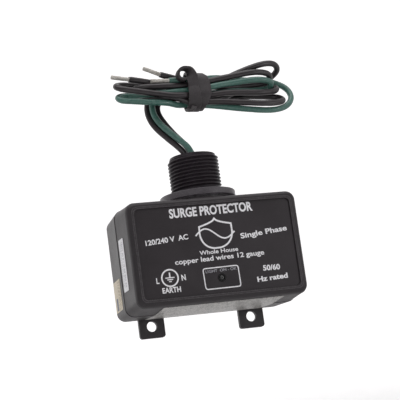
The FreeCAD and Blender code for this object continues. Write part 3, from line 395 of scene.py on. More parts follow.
MATS = {
    "housing_plastic": grain(
        "moulded_black", (0.0185, 0.0155, 0.0175), (0.0255, 0.0215, 0.0240), rough=(0.42, 0.52),
        fine=2600, coarse=70, bump=0.45, depth=0.10, wear=0.30, wear_col=(0.06, 0.056, 0.059),
        spec=0.42),
    "rear_plastic": grain(
        "moulded_black_rear", (0.0205, 0.0175, 0.0190), (0.0290, 0.0255, 0.0270),
        rough=(0.40, 0.50), fine=2400, coarse=60, bump=0.45, depth=0.10, wear=0.30,
        wear_col=(0.07, 0.066, 0.069), spec=0.44),
    "nipple_plastic": grain(
        "thread_black", (0.0270, 0.0215, 0.0260), (0.0350, 0.0285, 0.0340), rough=(0.30, 0.42),
        fine=900, coarse=140, bump=0.12, wear=0.12, wear_col=(0.05, 0.045, 0.05), spec=0.22),
    "locknut_plastic": grain(
        "nut_grey", (0.070, 0.063, 0.071), (0.092, 0.084, 0.093), rough=(0.30, 0.42),
        fine=1400, coarse=110, bump=0.15, wear=0.35, wear_col=(0.13, 0.13, 0.135)),
    "washer_plastic": grain(
        "washer_black", (0.040, 0.037, 0.040), (0.056, 0.052, 0.056), rough=(0.18, 0.3),
        fine=1200, coarse=120, bump=0.1),
    "seal_rubber": grain(
        "seal_rubber", (0.018, 0.018, 0.018), (0.032, 0.031, 0.03), rough=(0.6, 0.8),
        fine=2200, coarse=200, bump=0.3),
    "strap_rubber": grain(
        "strap_rubber", (0.0260, 0.0220, 0.0240), (0.0440, 0.0385, 0.0410), rough=(0.50, 0.62),
        fine=1500, coarse=230, bump=0.35, depth=0.12, wear=0.35, wear_col=(0.12, 0.115, 0.118)),
    "overlay_film": grain(
        "overlay_film", (0.0235, 0.0195, 0.0222), (0.0295, 0.0248, 0.0280), rough=(0.36, 0.44),
        fine=5200, coarse=55, bump=0.10, depth=0.03),
    "bezel_plastic": grain(
        "bezel_black", (0.010, 0.010, 0.010), (0.02, 0.02, 0.02), rough=(0.2, 0.3),
        fine=1500, coarse=300, bump=0.08),
    "white_label": grain(
        "label_white", (0.60, 0.60, 0.62), (0.72, 0.72, 0.74), rough=(0.35, 0.45),
        fine=3000, coarse=180, bump=0.05, depth=0.02),
    "date_label": grain(
        "label_cream", (0.44, 0.38, 0.27), (0.58, 0.51, 0.38), fine=2400, coarse=150,
        bump=0.05, depth=0.02),
    "green_insulation": grain(
        "insulation_green", (0.050, 0.132, 0.107), (0.068, 0.168, 0.137), rough=(0.26, 0.36),
        fine=900, coarse=55, bump=0.12, depth=0.08, coat=0.35),
    "black_insulation": grain(
        "insulation_black", (0.0165, 0.0125, 0.0145), (0.0265, 0.0205, 0.0230),
        rough=(0.30, 0.40), fine=900, coarse=55, bump=0.14, depth=0.08, coat=0.25,
        coat_rough=0.25),
    "tinned_copper": grain(
        "tinned_strand", (0.46, 0.44, 0.40), (0.80, 0.78, 0.73), rough=(0.28, 0.45),
        fine=1800, coarse=420, bump=0.3, depth=0.05, metallic=0.75),
    "zinc_steel": grain(
        "zinc_plate", (0.42, 0.43, 0.45), (0.62, 0.62, 0.63), rough=(0.25, 0.42),
        fine=1600, bump=0.2, metallic=1.0, scale=(1, 1, 6)),
    "board": grain(
        "solder_mask", (0.010, 0.075, 0.030), (0.018, 0.11, 0.05), rough=(0.25, 0.4),
        fine=1800, coarse=160, bump=0.15),
    "terminal_plastic": grain(
        "terminal_blue", (0.03, 0.08, 0.20), (0.05, 0.12, 0.28), rough=(0.35, 0.5),
        fine=1600, coarse=120, bump=0.15),
    "varistor_coat": grain(
        "varistor_coat", (0.02, 0.06, 0.20), (0.035, 0.10, 0.29), rough=(0.28, 0.45),
        fine=700, coarse=160, bump=0.35, depth=0.1),
    "arm_brass": grain(
        "arm_brass", (0.55, 0.38, 0.14), (0.74, 0.56, 0.26), rough=(0.22, 0.38),
        fine=1700, coarse=240, bump=0.2, metallic=1.0, scale=(1, 8, 1)),
    "fuse_ceramic": grain(
        "fuse_ceramic", (0.62, 0.60, 0.55), (0.80, 0.78, 0.73), rough=(0.4, 0.55),
        fine=1500, coarse=200, bump=0.15),
    "resistor_coat": grain(
        "resistor_coat", (0.42, 0.32, 0.20), (0.60, 0.48, 0.33), rough=(0.3, 0.45),
        fine=1300, bump=0.2),
    "capacitor_case": grain(
        "capacitor_case", (0.48, 0.40, 0.06), (0.66, 0.57, 0.12), rough=(0.3, 0.45),
        fine=1300, coarse=160, bump=0.15),
    "insulating_sheet": grain(
        "fibre_sheet", (0.34, 0.29, 0.21), (0.50, 0.44, 0.34), rough=(0.6, 0.8),
        fine=1400, coarse=90, bump=0.3, scale=(1, 1, 5)),
    "white_ink": ink("ink_white", (0.80, 0.80, 0.82), (0.92, 0.92, 0.94), bump=0.2),
    "grey_ink": ink("ink_grey", (0.38, 0.38, 0.41), (0.50, 0.50, 0.54)),
    "brown_ink": ink("ink_brown", (0.25, 0.20, 0.13), (0.34, 0.28, 0.19)),
    "navy_ink": ink("ink_navy", (0.035, 0.045, 0.085), (0.06, 0.07, 0.12), rough=(0.4, 0.5)),
    "window_film": grain(
        "window_film", (0.022, 0.0188, 0.0210), (0.028, 0.0240, 0.0268), rough=(0.32, 0.42),
        fine=5200, coarse=120, bump=0.06, depth=0.03),
    "led_lens": lens(),
    "rating_label": rating_film(),
}


def split_xyz(tree, vector):
    return add_node(tree, "SeparateXYZ", {"Vector": vector})


def brightness_input(tree):
    """Puts a brightness control in front of the base colour and returns its input."""
    color = tree.nodes["Principled BSDF"].inputs["Base Color"].links[0].from_socket
    control = add_node(tree, "HueSaturation", {"Color": color})
    set_surface(tree, {"Base Color": control.outputs["Color"]})
    return control.inputs["Value"]


def lift_under(material, gain):
    """Raises the base colour on faces that point down, which the lights leave too dark."""
    tree = material.node_tree
    normal = split_xyz(tree, add_node(tree, "NewGeometry", {}).outputs["Normal"])
    brightness = brightness_input(tree)
    feed(tree, brightness, map_range(tree, normal.outputs["Z"], (-0.15, -0.7), (1.0, gain)))


def painted_light_on_rim(material, top_light_gain, pad_light_gain):
    """Painted light: raises the base colour on upward faces, as if lit from above, and on the round pad above the
    housing, which lies in shade under the washer.
    """
    tree = material.node_tree
    geometry = add_node(tree, "NewGeometry", {})
    normal = split_xyz(tree, geometry.outputs["Normal"])
    place = split_xyz(tree, geometry.outputs["Position"])
    largest = tree.nodes.new("ShaderNodeMath")
    largest.operation = "MAXIMUM"
    up = map_range(tree, normal.outputs["Z"], (0.25, 0.6), (1.0, top_light_gain))
    pad = map_range(tree, place.outputs["Z"], (0.0263, 0.0268), (1.0, pad_light_gain))
    feed(tree, largest.inputs[0], up)
    feed(tree, largest.inputs[1], pad)
    feed(tree, brightness_input(tree), largest.outputs[0])


# Painted light: lighter base colour on the housing's upward faces and pad and on the locknut and washer undersides, to
# make up for shade the lights leave
painted_light_on_rim(MATS["housing_plastic"], top_light_gain=1.55, pad_light_gain=2.4)
lift_under(MATS["locknut_plastic"], gain=2.3)
lift_under(MATS["washer_plastic"], gain=1.6)


# ------------------------------------------------------------------ mesh helpers
# A mesh is passed around as (vertices in millimetres, faces).
def add_piece(name, mesh, material, slot, angle=30, body="housing", merge=0.0005, recalc=True):
    """Builds a smooth object with sharp edges above the angle; it rides on a CAD body."""
    verts, faces = mesh
    data = bpy.data.meshes.new(name)
    data.from_pydata([tuple(float(c) * MM for c in v) for v in verts], [], faces)
    bm = bmesh.new()
    bm.from_mesh(data)
    if merge:
        bmesh.ops.remove_doubles(bm, verts=bm.verts, dist=merge * MM)
        bmesh.ops.dissolve_degenerate(bm, edges=bm.edges, dist=merge * MM)
    if recalc:
        bmesh.ops.recalc_face_normals(bm, faces=bm.faces)
    for face in bm.faces:
        face.smooth = True
    bm.to_mesh(data)
    bm.free()
    data.set_sharp_from_angle(angle=math.radians(angle))
    data.update()
    piece = bpy.data.objects.new(name, data)
    scene.collection.objects.link(piece)
    piece.data.materials.append(material)
    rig.ride(piece, body)
    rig.slot(piece, slot)
    return piece


def grid_faces(rows, cols, wrap_rows=False, wrap_cols=False):
    """Quads over a grid of vertices stored row by row."""
    faces = []
    for i in range(rows if wrap_rows else rows - 1):
        for j in range(cols if wrap_cols else cols - 1):
            here, ahead = i * cols, (i + 1) % rows * cols
            j_next = (j + 1) % cols
            faces.append((here + j, ahead + j, ahead + j_next, here + j_next))
    return faces


def capped_faces(rows, cols):
    """Faces of a closed bar: wrapped sides and one flat face at each end."""
    last = (rows - 1) * cols
    caps = [tuple(range(cols - 1, -1, -1)), tuple(range(last, last + cols))]
    return grid_faces(rows, cols, wrap_cols=True) + caps


def join(parts):
    verts, faces = [], []
    for part_verts, part_faces in parts:
        base = len(verts)
        verts += list(part_verts)
        faces += [tuple(i + base for i in face) for face in part_faces]
    return verts, faces


def unit(vectors):
    return vectors / np.linalg.norm(vectors, axis=-1, keepdims=True)


def circle_point(radius, degrees):
    return radius * math.cos(math.radians(degrees)), radius * math.sin(math.radians(degrees))


def smooth_curve(points, step):
    """Natural cubic spline through the points, resampled at even steps."""
    P = np.array(points, float)
    knots = np.concatenate([[0], np.cumsum(np.linalg.norm(np.diff(P, axis=0), axis=1))])
    n = len(P)
    gap = np.diff(knots)
    system = np.zeros((n, n))
    right = np.zeros((n, 3))
    system[0, 0] = system[-1, -1] = 1
    for i in range(1, n - 1):
        system[i, i - 1:i + 2] = gap[i - 1], 2 * (gap[i - 1] + gap[i]), gap[i]
        right[i] = 6 * ((P[i + 1] - P[i]) / gap[i] - (P[i] - P[i - 1]) / gap[i - 1])
    bend = np.linalg.solve(system, right)
    s = np.linspace(0, knots[-1], max(2, int(knots[-1] / step) + 1))
    k = np.clip(np.searchsorted(knots, s, side="right") - 1, 0, n - 2)
    a = ((knots[k + 1] - s) / gap[k])[:, None]
    b = ((s - knots[k]) / gap[k])[:, None]
    span = gap[k][:, None]
    curved = ((a ** 3 - a) * bend[k] + (b ** 3 - b) * bend[k + 1]) * span ** 2 / 6
    return a * P[k] + b * P[k + 1] + curved


def curve_frames(line):
    """Tangents and two cross directions along a curve, carried without twist."""
    tangents = unit(np.gradient(line, axis=0))
    normals = [unit(np.cross(tangents[0], [0, 1, 0.1]))]
    for tangent in tangents[1:]:
        normals.append(unit(normals[-1] - tangent * np.dot(normals[-1], tangent)))
    normals = np.array(normals)
    return tangents, normals, np.cross(tangents, normals)


def noise_at(p, scale, seed=0.0):
    return noise.noise(Vector((p[0] * scale + seed, p[1] * scale - seed,
                               p[2] * scale + 2.3 * seed)))


def tube(line, radius, sides, end_round, seed=0.0, wobble=0.0, ragged=0.0):
    """Closed round tube with slightly domed ends; ragged moves the far rim along the tube."""
    tangents, normals, sideways = curve_frames(line)
    last = len(line) - 1

    def outward(i, k):
        angle = 2 * math.pi * k / sides
        return normals[i] * math.cos(angle) + sideways[i] * math.sin(angle)

    verts = []
    for i in range(last + 1):
        for k in range(sides):
            out = outward(i, k)
            centre = line[i]
            r = radius
            if wobble:
                r += wobble * noise_at(centre + out * radius, 0.35, seed)
            if i == last and ragged:
                jag = 0.5 + 0.9 * noise_at((k * 0.9, seed, 0.3), 1.0)
                centre = centre + tangents[i] * ragged * jag
            if i in (0, last):
                r -= end_round
            verts.append(centre + out * r)
    faces = grid_faces(last + 1, sides, wrap_cols=True)
    # each end: a smaller ring and a centre point
    for i, sign in ((0, -1), (last, 1)):
        base = len(verts)
        tip = line[i] + tangents[i] * sign * 0.02
        verts += [tip + outward(i, k) * (radius * 0.45) for k in range(sides)]
        verts.append(tip)
        for k in range(sides):
            k_next = (k + 1) % sides
            faces.append((i * sides + k, i * sides + k_next, base + k_next, base + k))
            faces.append((base + k, base + k_next, base + sides))
    return verts, faces


# ------------------------------------------------------------------ carried-over CAD nodes
REPLACED = {"conduit_nipple", "wire_strap", "locknut"}
for lead in LEADS:
    REPLACED |= {"wire_" + lead[0], "conductor_tip_" + lead[0]}

for name, node in NODES.items():
    if name in REPLACED:
        continue
    node.data.materials.clear()
    node.data.materials.append(MATS[SLOT_OF[name]])
    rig.slot(node, SLOT_OF[name])
    weld = node.modifiers.new("weld", "WELD")
    weld.merge_threshold = 0.000002
    for polygon in node.data.polygons:
        polygon.use_smooth = True
    split = node.modifiers.new("split", "EDGE_SPLIT")
    split.split_angle = math.radians(28)
    split.use_edge_sharp = False

# ------------------------------------------------------------------ leads
lead_lines = {}
for name, points, insulation, seed, ragged, _, _ in LEADS:
    line = smooth_curve(points, 0.8)
    lead_lines[name] = line
    wire = "wire_" + name
    jacket = tube(line, LEAD_R, 22, end_round=0.12, seed=seed, wobble=0.05, ragged=ragged)
    piece = add_piece(wire + "_jacket", jacket, MATS[insulation], SLOT_OF[wire], angle=50)
    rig.replaces(piece, wire)


def bare_strands(start, aim, twist):
    """Nine strands wound round a solid core, from the lead's end towards the aim."""
    length, samples, count = 9.9, 60, 9
    start = np.array(start, float)
    along = unit(np.array(aim, float) - start)
    across = unit(np.cross(along, [0, 1, 0]))
    other = np.cross(along, across)
    core = [start + along * (length * i / 9.0 - 0.4 * (i == 0)) for i in range(10)]
    parts = [tube(np.array(core), 0.62, 14, end_round=0.1)]
    for k in range(count):
        strand_length = length - 0.12 * ((k * 5) % 4)
        line = []
        for i in range(samples):
            s = i / (samples - 1)
            angle = 2 * math.pi * k / count + 0.3 + twist * s
            r = 0.80 + 0.03 * math.sin(7 * s + k)
            line.append(start - along * 0.35 + along * ((strand_length + 0.35) * s)
                        + (across * math.cos(angle) + other * math.sin(angle)) * r)
        parts.append(tube(np.array(line), 0.315, 10, end_round=0.08))
    return join(parts)


for name, *_, aim, twist in LEADS:
    tip = "conductor_tip_" + name
    piece = add_piece(tip + "_strands", bare_strands(lead_lines[name][-1], aim, twist),
                      MATS["tinned_copper"], "tinned_copper", angle=50)
    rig.replaces(piece, tip)

# ------------------------------------------------------------------ strap
# Axes of the strap: along the bundle, front to back, and upwards across it
ALONG = unit(np.array((13.56, 0, -0.764)))
BACK = np.array((0, 1.0, 0))
UPWARD = np.cross(ALONG, BACK)
STRAP_CENTRE = np.array((7.1, -24.8, 86.5))
STRAP_REACH = 5.8 + 0.8     # leads this far along the bundle from the centre shape the loop
STRAP_GAP = 0.28            # clearance over the leads
STRAP_EDGE_R = 0.42


def strap_loop(offset, count=132):
    """Closed outline round the leads, as (back, up) pairs at even spacing."""
    centres = []
    for line in lead_lines.values():
        for point in line:
            d = point - STRAP_CENTRE
            if abs(d @ ALONG) < STRAP_REACH and point[2] > 60:
                centres.append((d @ BACK, d @ UPWARD))
    centres = np.array(centres)
    outline = []
    for k in range(180):
        c, s = math.cos(2 * math.pi * k / 180), math.sin(2 * math.pi * k / 180)
        furthest = centres[np.argmax(centres[:, 0] * c + centres[:, 1] * s)]
        outline.append((furthest[0] + offset * c, furthest[1] + offset * s))
    P = np.array(outline + [outline[0]])
    run = np.concatenate([[0], np.cumsum(np.linalg.norm(np.diff(P, axis=0), axis=1))])
    s = np.linspace(0, run[-1], count, endpoint=False)
    loop = np.stack([np.interp(s, run, P[:, 0]), np.interp(s, run, P[:, 1])], 1)
    for _ in range(12):
        loop = loop * 0.5 + 0.25 * (np.roll(loop, 1, 0) + np.roll(loop, -1, 0))
    return loop * 1.02


LOOP = strap_loop(LEAD_R + STRAP_GAP)
LOOP_TOP, LOOP_BOTTOM = LOOP[:, 1].max(), LOOP[:, 1].min()
START, END, BETWEEN = 0, 1, 2    # what a profile point's first offset is measured from


def strap_profile(thick):
    """Rounded section: (reference, offset in mm or fraction of the width, height)."""
    r = STRAP_EDGE_R

    def corner(reference, first_angle, height):
        inset = r if reference == START else -r
        points = []
        for turn in (0, 30, 60, 90):
            u, t = circle_point(r, first_angle + turn)
            points.append((reference, inset + u, height + t))
        return points

    return (corner(START, 180, r) + [(BETWEEN, u, 0.0) for u in (0.25, 0.5, 0.75)]
            + corner(END, 270, r) + corner(END, 0, thick - r)
            + [(BETWEEN, u, thick) for u in (0.86, 0.72, 0.58, 0.44, 0.3, 0.16)]
            + corner(START, 90, thick - r))


def strap_turn(name, start_at, end_at, thick, seed, lift=0.0):
    """One turn of the strap; its edges along the bundle depend on the height 0..1."""
    tangents = unit(np.roll(LOOP, -1, 0) - np.roll(LOOP, 1, 0))
    normals = np.stack([tangents[:, 1], -tangents[:, 0]], 1)
    normals[np.sum(normals * (LOOP - LOOP.mean(0)), axis=1) < 0] *= -1
    profile = strap_profile(thick)
    verts = []
    for place, normal in zip(LOOP, normals):
        h = (place[1] - LOOP_BOTTOM) / (LOOP_TOP - LOOP_BOTTOM)
        start, end = start_at(h), end_at(h)
        for reference, offset, t in profile:
            x = (start + offset, end + offset, start + (end - start) * offset)[reference]
            crown = wobble = 0.0
            if t > thick * 0.5:
                crown = 0.16 * (1 - (2 * (x - start) / (end - start) - 1) ** 2)
            if t > 0.2:
                wobble = 0.10 * noise_at((x * 0.5, place[0] * 0.5, place[1] * 0.5), 0.7, seed)
            q = place + normal * (t + crown + wobble + lift)
            verts.append(STRAP_CENTRE + ALONG * x + BACK * q[0] + UPWARD * q[1])
    faces = grid_faces(len(LOOP), len(profile), True, True)
    return add_piece(name, (verts, faces), MATS["strap_rubber"], "strap_rubber", angle=60)


def seam(h):
    """Where the two turns meet, at height h."""
    return -1.9 + 2.2 * (1 - h) + 0.25 * math.sin(6 * h)


def left_edge(h):
    return -5.9 - 0.35 * math.sin(4 * h) - 0.7 * (1 - h) ** 4


def right_edge(h):
    return 6.05 - 2.0 * max(0.0, 2 * h - 1) ** 2.5 - 3.4 * max(0.0, 1 - 2.2 * h) ** 2


left_turn = strap_turn("strap_turn_left", left_edge, lambda h: seam(h) + 0.25,
                       thick=1.38, seed=2.0, lift=0.06)
strap_turn("strap_turn_right", lambda h: seam(h) - 0.1, right_edge, thick=0.98, seed=6.0)


def ribbon(path, width_dirs, widths, thick, step=0.35):
    """A strip of constant thickness; directions and widths are spread evenly along the path."""
    P = smooth_curve(path, step)
    n = len(P)
    t = np.linspace(0, 1, n)
    spread = np.linspace(0, 1, len(width_dirs))
    across = np.stack([np.interp(t, spread, [d[i] for d in width_dirs]) for i in range(3)], 1)
    width = np.interp(t, np.linspace(0, 1, len(widths)), widths)
    tangents = unit(np.gradient(P, axis=0))
    across = unit(across - tangents * np.sum(tangents * across, axis=1)[:, None])
    normals = np.cross(tangents, across)
    r = min(0.4, thick * 0.45)
    v = thick / 2 - r
    verts = []
    for i in range(n):
        # the two end sections are smaller, which rounds the ends
        wide, deep = (1, 1.0) if 0 < i < n - 1 else (0.93, 0.55)
        u = width[i] / 2 - r
        for cx, cy, first in ((u, v, 0), (-u, v, 90), (-u, -v, 180), (u, -v, 270)):
            for turn in (0, 30, 60, 90):
                dx, dy = circle_point(r, first + turn)
                q = P[i] + across[i] * (cx + dx) * wide + normals[i] * (cy + dy) * deep
                verts.append(q + normals[i] * 0.05 * noise_at(q, 0.6, 3.0))
    return verts, capped_faces(n, 16)


CURL_Y = -30.4
curl = ribbon(
    path=[(3.8, -31.5, 86.6), (3.8, -31.9, 89.6), (3.8, -31.7, 92.6), (3.5, CURL_Y - 0.6, 95.6),
          (2.5, CURL_Y, 97.7), (0.3, CURL_Y, 98.4), (-1.9, CURL_Y, 97.8), (-3.2, CURL_Y, 96.1),
          (-3.3, CURL_Y, 94.1), (-2.1, CURL_Y + 0.1, 92.7), (-0.5, CURL_Y + 0.3, 92.4),
          (1.0, CURL_Y + 0.5, 93.0)],
    width_dirs=[(1, 0, 0), (1, 0.05, 0), (0.95, -0.25, 0.1), (0.55, -0.8, 0.15),
                (0.15, -1, 0.05), (0, -1, 0), (0, -1, 0), (0, -1, 0), (0, -1, 0)],
    widths=[5.0, 5.6, 6.2, 5.6, 5.0, 4.8, 4.6, 4.4, 4.0], thick=1.5)
add_piece("strap_curled_end", curl, MATS["strap_rubber"], "strap_rubber", angle=60)
stub = ribbon(
    path=[(2.8, -32.0, 77.4), (2.1, -32.2, 76.4), (1.1, -32.1, 75.6), (0.1, -31.8, 75.3),
          (-0.8, -31.4, 75.8)],
    width_dirs=[(1, 0, 0), (0.9, -0.4, 0), (0.4, -0.9, 0), (0, -1, 0)],
    widths=[2.6, 2.5, 2.4, 2.1], thick=1.15)
add_piece("strap_short_end", stub, MATS["strap_rubber"], "strap_rubber", angle=60)
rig.replaces(left_turn, "wire_strap")


# ------------------------------------------------------------------ conduit nipple
def revolve(profile, segments, closed=False):
    """Turns (radius, z) points about the nipple axis; a radius may depend on the angle."""
    verts = []
    for i in range(segments):
        angle = 2 * math.pi * i / segments
        for radius, z in profile:
            r = radius(angle) if callable(radius) else radius
            verts.append((r * math.cos(angle), r * math.sin(angle) + NIPPLE_Y, z))
    return verts, grid_faces(segments, len(profile), wrap_rows=True, wrap_cols=closed)


NIPPLE_SEGMENTS = 180
THREAD_BOTTOM, THREAD_TOP = 28.2, 51.75
CREST_HALF, FLANK_END = 0.14, 0.72      # distances from the crest's middle, along the axis
# Section of one thread turn: heights from the crest's middle
TURN_HEIGHTS = (-0.72, -0.40, -0.14, -0.06, 0.06, 0.14, 0.40, 0.72)


def thread_radius(z, angle):
    d = (z - CREST_Z - PITCH * angle / (2 * math.pi)) / PITCH
    d = abs(d - round(d)) * PITCH
    if d < CREST_HALF:
        r = CREST_R - 0.05 * (d / CREST_HALF) ** 2
    elif d < FLANK_END:
        drop = (ROOT_R - CREST_R + 0.05) * (d - CREST_HALF) / (FLANK_END - CREST_HALF)
        r = CREST_R - 0.05 + drop
    else:
        r = ROOT_R - 0.02
    # the thread fades into the root at both ends
    fade = min(1.0, max(0.0, (51.45 - z) / 0.9)) * min(1.0, max(0.0, (z - 28.6) / 0.7))
    return ROOT_R + (r - ROOT_R) * fade


def helical_thread():
    per_turn = len(TURN_HEIGHTS)
    heights = [CREST_Z + k * PITCH + dz for k in range(-14, 3) for dz in TURN_HEIGHTS]
    rows = len(heights)
    verts = []
    for i in range(NIPPLE_SEGMENTS):
        angle = 2 * math.pi * i / NIPPLE_SEGMENTS
        for height in heights:
            z = min(max(height + PITCH * i / NIPPLE_SEGMENTS, THREAD_BOTTOM), THREAD_TOP)
            r = thread_radius(z, angle)
            verts.append((r * math.cos(angle), r * math.sin(angle) + NIPPLE_Y, z))
    faces = grid_faces(NIPPLE_SEGMENTS, rows)
    # the last column joins the first one a full turn higher
    last = (NIPPLE_SEGMENTS - 1) * rows
    for j in range(rows - per_turn - 1):
        faces.append((last + j, j + per_turn, j + per_turn + 1, last + j + 1))

    def has_height(face):
        z = [verts[k][2] for k in face]
        return max(z) - min(z) > 1e-6

    # faces squeezed flat beyond the ends of the thread are dropped
    return verts, [face for face in faces if has_height(face)]


def flange_radius(angle):
    """Rounded rectangle, 14.6 by 13.6 half size."""
    c, s = abs(math.cos(angle)), abs(math.sin(angle))
    return 1.0 / ((c / 14.6) ** 10 + (s / 13.6) ** 10) ** 0.1


def flange_inset(angle):
    return flange_radius(angle) - 0.3


# From the top lip down the bore, then out round the flange and up the neck: radius, z
NIPPLE_PROFILE = [
    (ROOT_R, THREAD_TOP), (11.86, 51.8), (11.86, 52.15), (11.7, 52.34), (11.5, 52.4),
    (9.9, 52.4), (9.6, 52.3), (BORE_R, 52.0), (BORE_R, 46), (BORE_R, 40), (BORE_R, 34),
    (BORE_R, 28), (BORE_R, 20.6), (9.6, 20.4), (12.0, 20.4), (flange_inset, 20.4),
    (flange_radius, 20.7), (flange_radius, 22.9), (flange_inset, 23.2), (NECK_R, 23.2),
    (NECK_R, 25), (NECK_R, 28.05), (12.45, THREAD_BOTTOM), (ROOT_R, THREAD_BOTTOM),
]
nipple = join([helical_thread(), revolve(NIPPLE_PROFILE, NIPPLE_SEGMENTS)])
piece = add_piece("conduit_nipple_threaded", nipple, MATS["nipple_plastic"], "nipple_plastic",
                  angle=24, merge=0.004)
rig.replaces(piece, "conduit_nipple")

# ------------------------------------------------------------------ locknut
# A round rim over a scalloped skirt
NOTCHES = 16
NOTCH_R = 1.5
NOTCH_CENTRE_R = 18.25
SKIRT_R = 17.7
NUT_BORE_R = 13.35
RIDGE_BASE_R = 13.36


def skirt_radius(angle):
    k = (angle / (2 * math.pi) * NOTCHES) % 1.0
    d = min(k, 1 - k) * 2 * math.pi / NOTCHES * NOTCH_CENTRE_R
    if d >= NOTCH_R - 0.01:
        return SKIRT_R
    return min(SKIRT_R, NOTCH_CENTRE_R - math.sqrt(NOTCH_R ** 2 - d * d))


# radius, z
NUT_PROFILE = [
    (NUT_BORE_R, 28.5), (13.6, 28.3), (16.0, 28.3), (lambda angle: skirt_radius(angle) - 0.12, 28.3),
    (skirt_radius, 28.42), (skirt_radius, 28.6), (skirt_radius, 28.75), (18.0, 28.76),
    (18.9, 28.78), (19.2, 28.86), (19.38, 29.1), (19.4, 29.5), (19.4, 30.6), (19.4, 31.5),
    (19.34, 31.86), (19.12, 32.08), (18.8, 32.15), (17.0, 32.15), (15.2, 32.10), (13.7, 32.15),
    (NUT_BORE_R, 31.9), (NUT_BORE_R, 30.4),
]


def nut_ridge():
    """Internal thread ridge, half a pitch off the nipple's crests."""
    samples, turns, start = 90, 1.3, -110
    start_z = CREST_Z + PITCH / 2 - 12 * PITCH + PITCH * start / 360.0
    section = ((RIDGE_BASE_R, -0.70), (12.08, -0.18), (12.08, 0.18), (RIDGE_BASE_R, 0.70))
    verts = []
    for i in range(samples):
        angle = math.radians(start) + 2 * math.pi * turns * i / (samples - 1)
        z = start_z + PITCH * turns * i / (samples - 1)
        taper = max(min(1.0, i / 6.0, (samples - 1 - i) / 6.0), 0.05)
        for radius, dz in section:
            r = RIDGE_BASE_R - (RIDGE_BASE_R - radius) * taper
            verts.append((r * math.cos(angle), r * math.sin(angle) + NIPPLE_Y, z + dz))
    return verts, capped_faces(samples, 4)


piece = add_piece("locknut_round", join([revolve(NUT_PROFILE, 256, closed=True), nut_ridge()]),
                  MATS["locknut_plastic"], "locknut_plastic", body="locknut", merge=0.002)
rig.replaces(piece, "locknut")

# ------------------------------------------------------------------ print on the front panel
INK_THICK = 0.035
FONT_EXTRUDE = 0.02


def text_mesh(text, weight):
    """Extruded text at font size 1, thickened by the weight."""
    curve = bpy.data.curves.new("text", "FONT")
    curve.body = text
    curve.align_x = "CENTER"
    curve.size = 1.0
    curve.offset = weight
    curve.extrude = FONT_EXTRUDE
    curve.resolution_u = 4
    holder = bpy.data.objects.new("text", curve)
    scene.collection.objects.link(holder)
    bpy.context.view_layer.update()
    evaluated = holder.evaluated_get(bpy.context.evaluated_depsgraph_get())
    data = bpy.data.meshes.new_from_object(evaluated)
    bpy.data.objects.remove(holder)
    bpy.data.curves.remove(curve)
    points = np.array([v.co for v in data.vertices])
    faces = [tuple(p.vertices) for p in data.polygons]
    bpy.data.meshes.remove(data)
    return points, faces


capital = text_mesh("H", 0.0)[0][:, 1]
CAP_HEIGHT = capital.max() - capital.min()


def panel_text(name, text, start, end, height, weight, ink_key="white_ink", y=PANEL_Y):
    """Text fitted between the ends (x, z) of its centre line, with the given capital height."""
    points, faces = text_mesh(text, weight)
    x0, x1 = points[:, 0].min(), points[:, 0].max()
    start, end = np.array(start), np.array(end)
    length = np.linalg.norm(end - start)
    dx, dz = (end - start) / length
    mid = (start + end) / 2
    u = (points[:, 0] - (x0 + x1) / 2) * (length / (x1 - x0))
    v = (points[:, 1] - CAP_HEIGHT / 2) * (height / CAP_HEIGHT)
    depth = points[:, 2] / FONT_EXTRUDE
    verts = np.stack([mid[0] + u * dx - v * dz, y - INK_THICK / 2 - depth * INK_THICK / 2,
                      mid[1] + u * dz + v * dx], 1)
    add_piece(name, (verts, faces), MATS[ink_key], "overlay_film", merge=0.0, recalc=False)


def stroke(points, width, closed=False, thick=INK_THICK):
    """Flat raised line through (x, z) points on the panel."""
    P = np.array(points, float)
    if closed:
        before, after = P - np.roll(P, 1, 0), np.roll(P, -1, 0) - P
    else:
        steps = np.diff(P, axis=0)
        before, after = np.vstack([steps[:1], steps]), np.vstack([steps, steps[-1:]])
    before, after = unit(before), unit(after)
    side = np.stack([-before[:, 1], before[:, 0]], 1)
    mitre = unit(side + np.stack([-after[:, 1], after[:, 0]], 1))
    reach = (width / 2) / np.clip(np.sum(mitre * side, axis=1), 0.35, 1)
    verts = []
    for p, offset in zip(P, mitre * reach[:, None]):
        a, b = p + offset, p - offset
        verts += [(a[0], PANEL_Y, a[1]), (a[0], PANEL_Y - thick, a[1]),
                  (b[0], PANEL_Y - thick, b[1]), (b[0], PANEL_Y, b[1])]
    return verts, grid_faces(len(P), 4, True, True) if closed else capped_faces(len(P), 4)


# name, text, start and end of the centre line (x, z), capital height, weight
PRINTS = [
    ("title", "SURGE PROTECTOR", (-22.61, 19.05), (20.64, 19.67), 4.3, 0.034),
    ("rating", "120/240 V  AC", (-36.33, 5.42), (-14.51, 7.05), 2.45, 0.026),
    ("system", "Single Phase", (12.42, 5.01), (37.12, 7.27), 2.5, 0.026),
    ("subline", "Whole House", (-9.81, -1.75), (10.21, -1.24), 1.95, 0.020),
    ("long", "copper lead wires 12 gauge", (-22.82, -5.23), (23.43, -4.08), 2.35, 0.022),
    ("mark_left", "L", (-33.4, -13.5), (-31.9, -13.5), 2.7, 0.03),
    ("mark_right", "N", (-20.6, -13.0), (-18.4, -12.9), 2.7, 0.03),
    ("mark_word", "EARTH", (-30.93, -18.58), (-21.57, -18.48), 2.5, 0.03),
    ("use_1", "50/60", (21.71, -12.03), (30.68, -12.09), 2.5, 0.036),
    ("use_2", "Hz rated", (17.94, -17.46), (34.01, -16.72), 2.4, 0.036),
]
for name, *details in PRINTS:
    panel_text("print_" + name, *details)
panel_text("print_window", "LIGHT  ON - OK", (-8.0, -11.28), (8.0, -10.85), 1.35, 0.004,
           ink_key="grey_ink", y=PANEL_Y - 0.03)


def add_print(name, mesh):
    add_piece(name, mesh, MATS["white_ink"], "overlay_film")


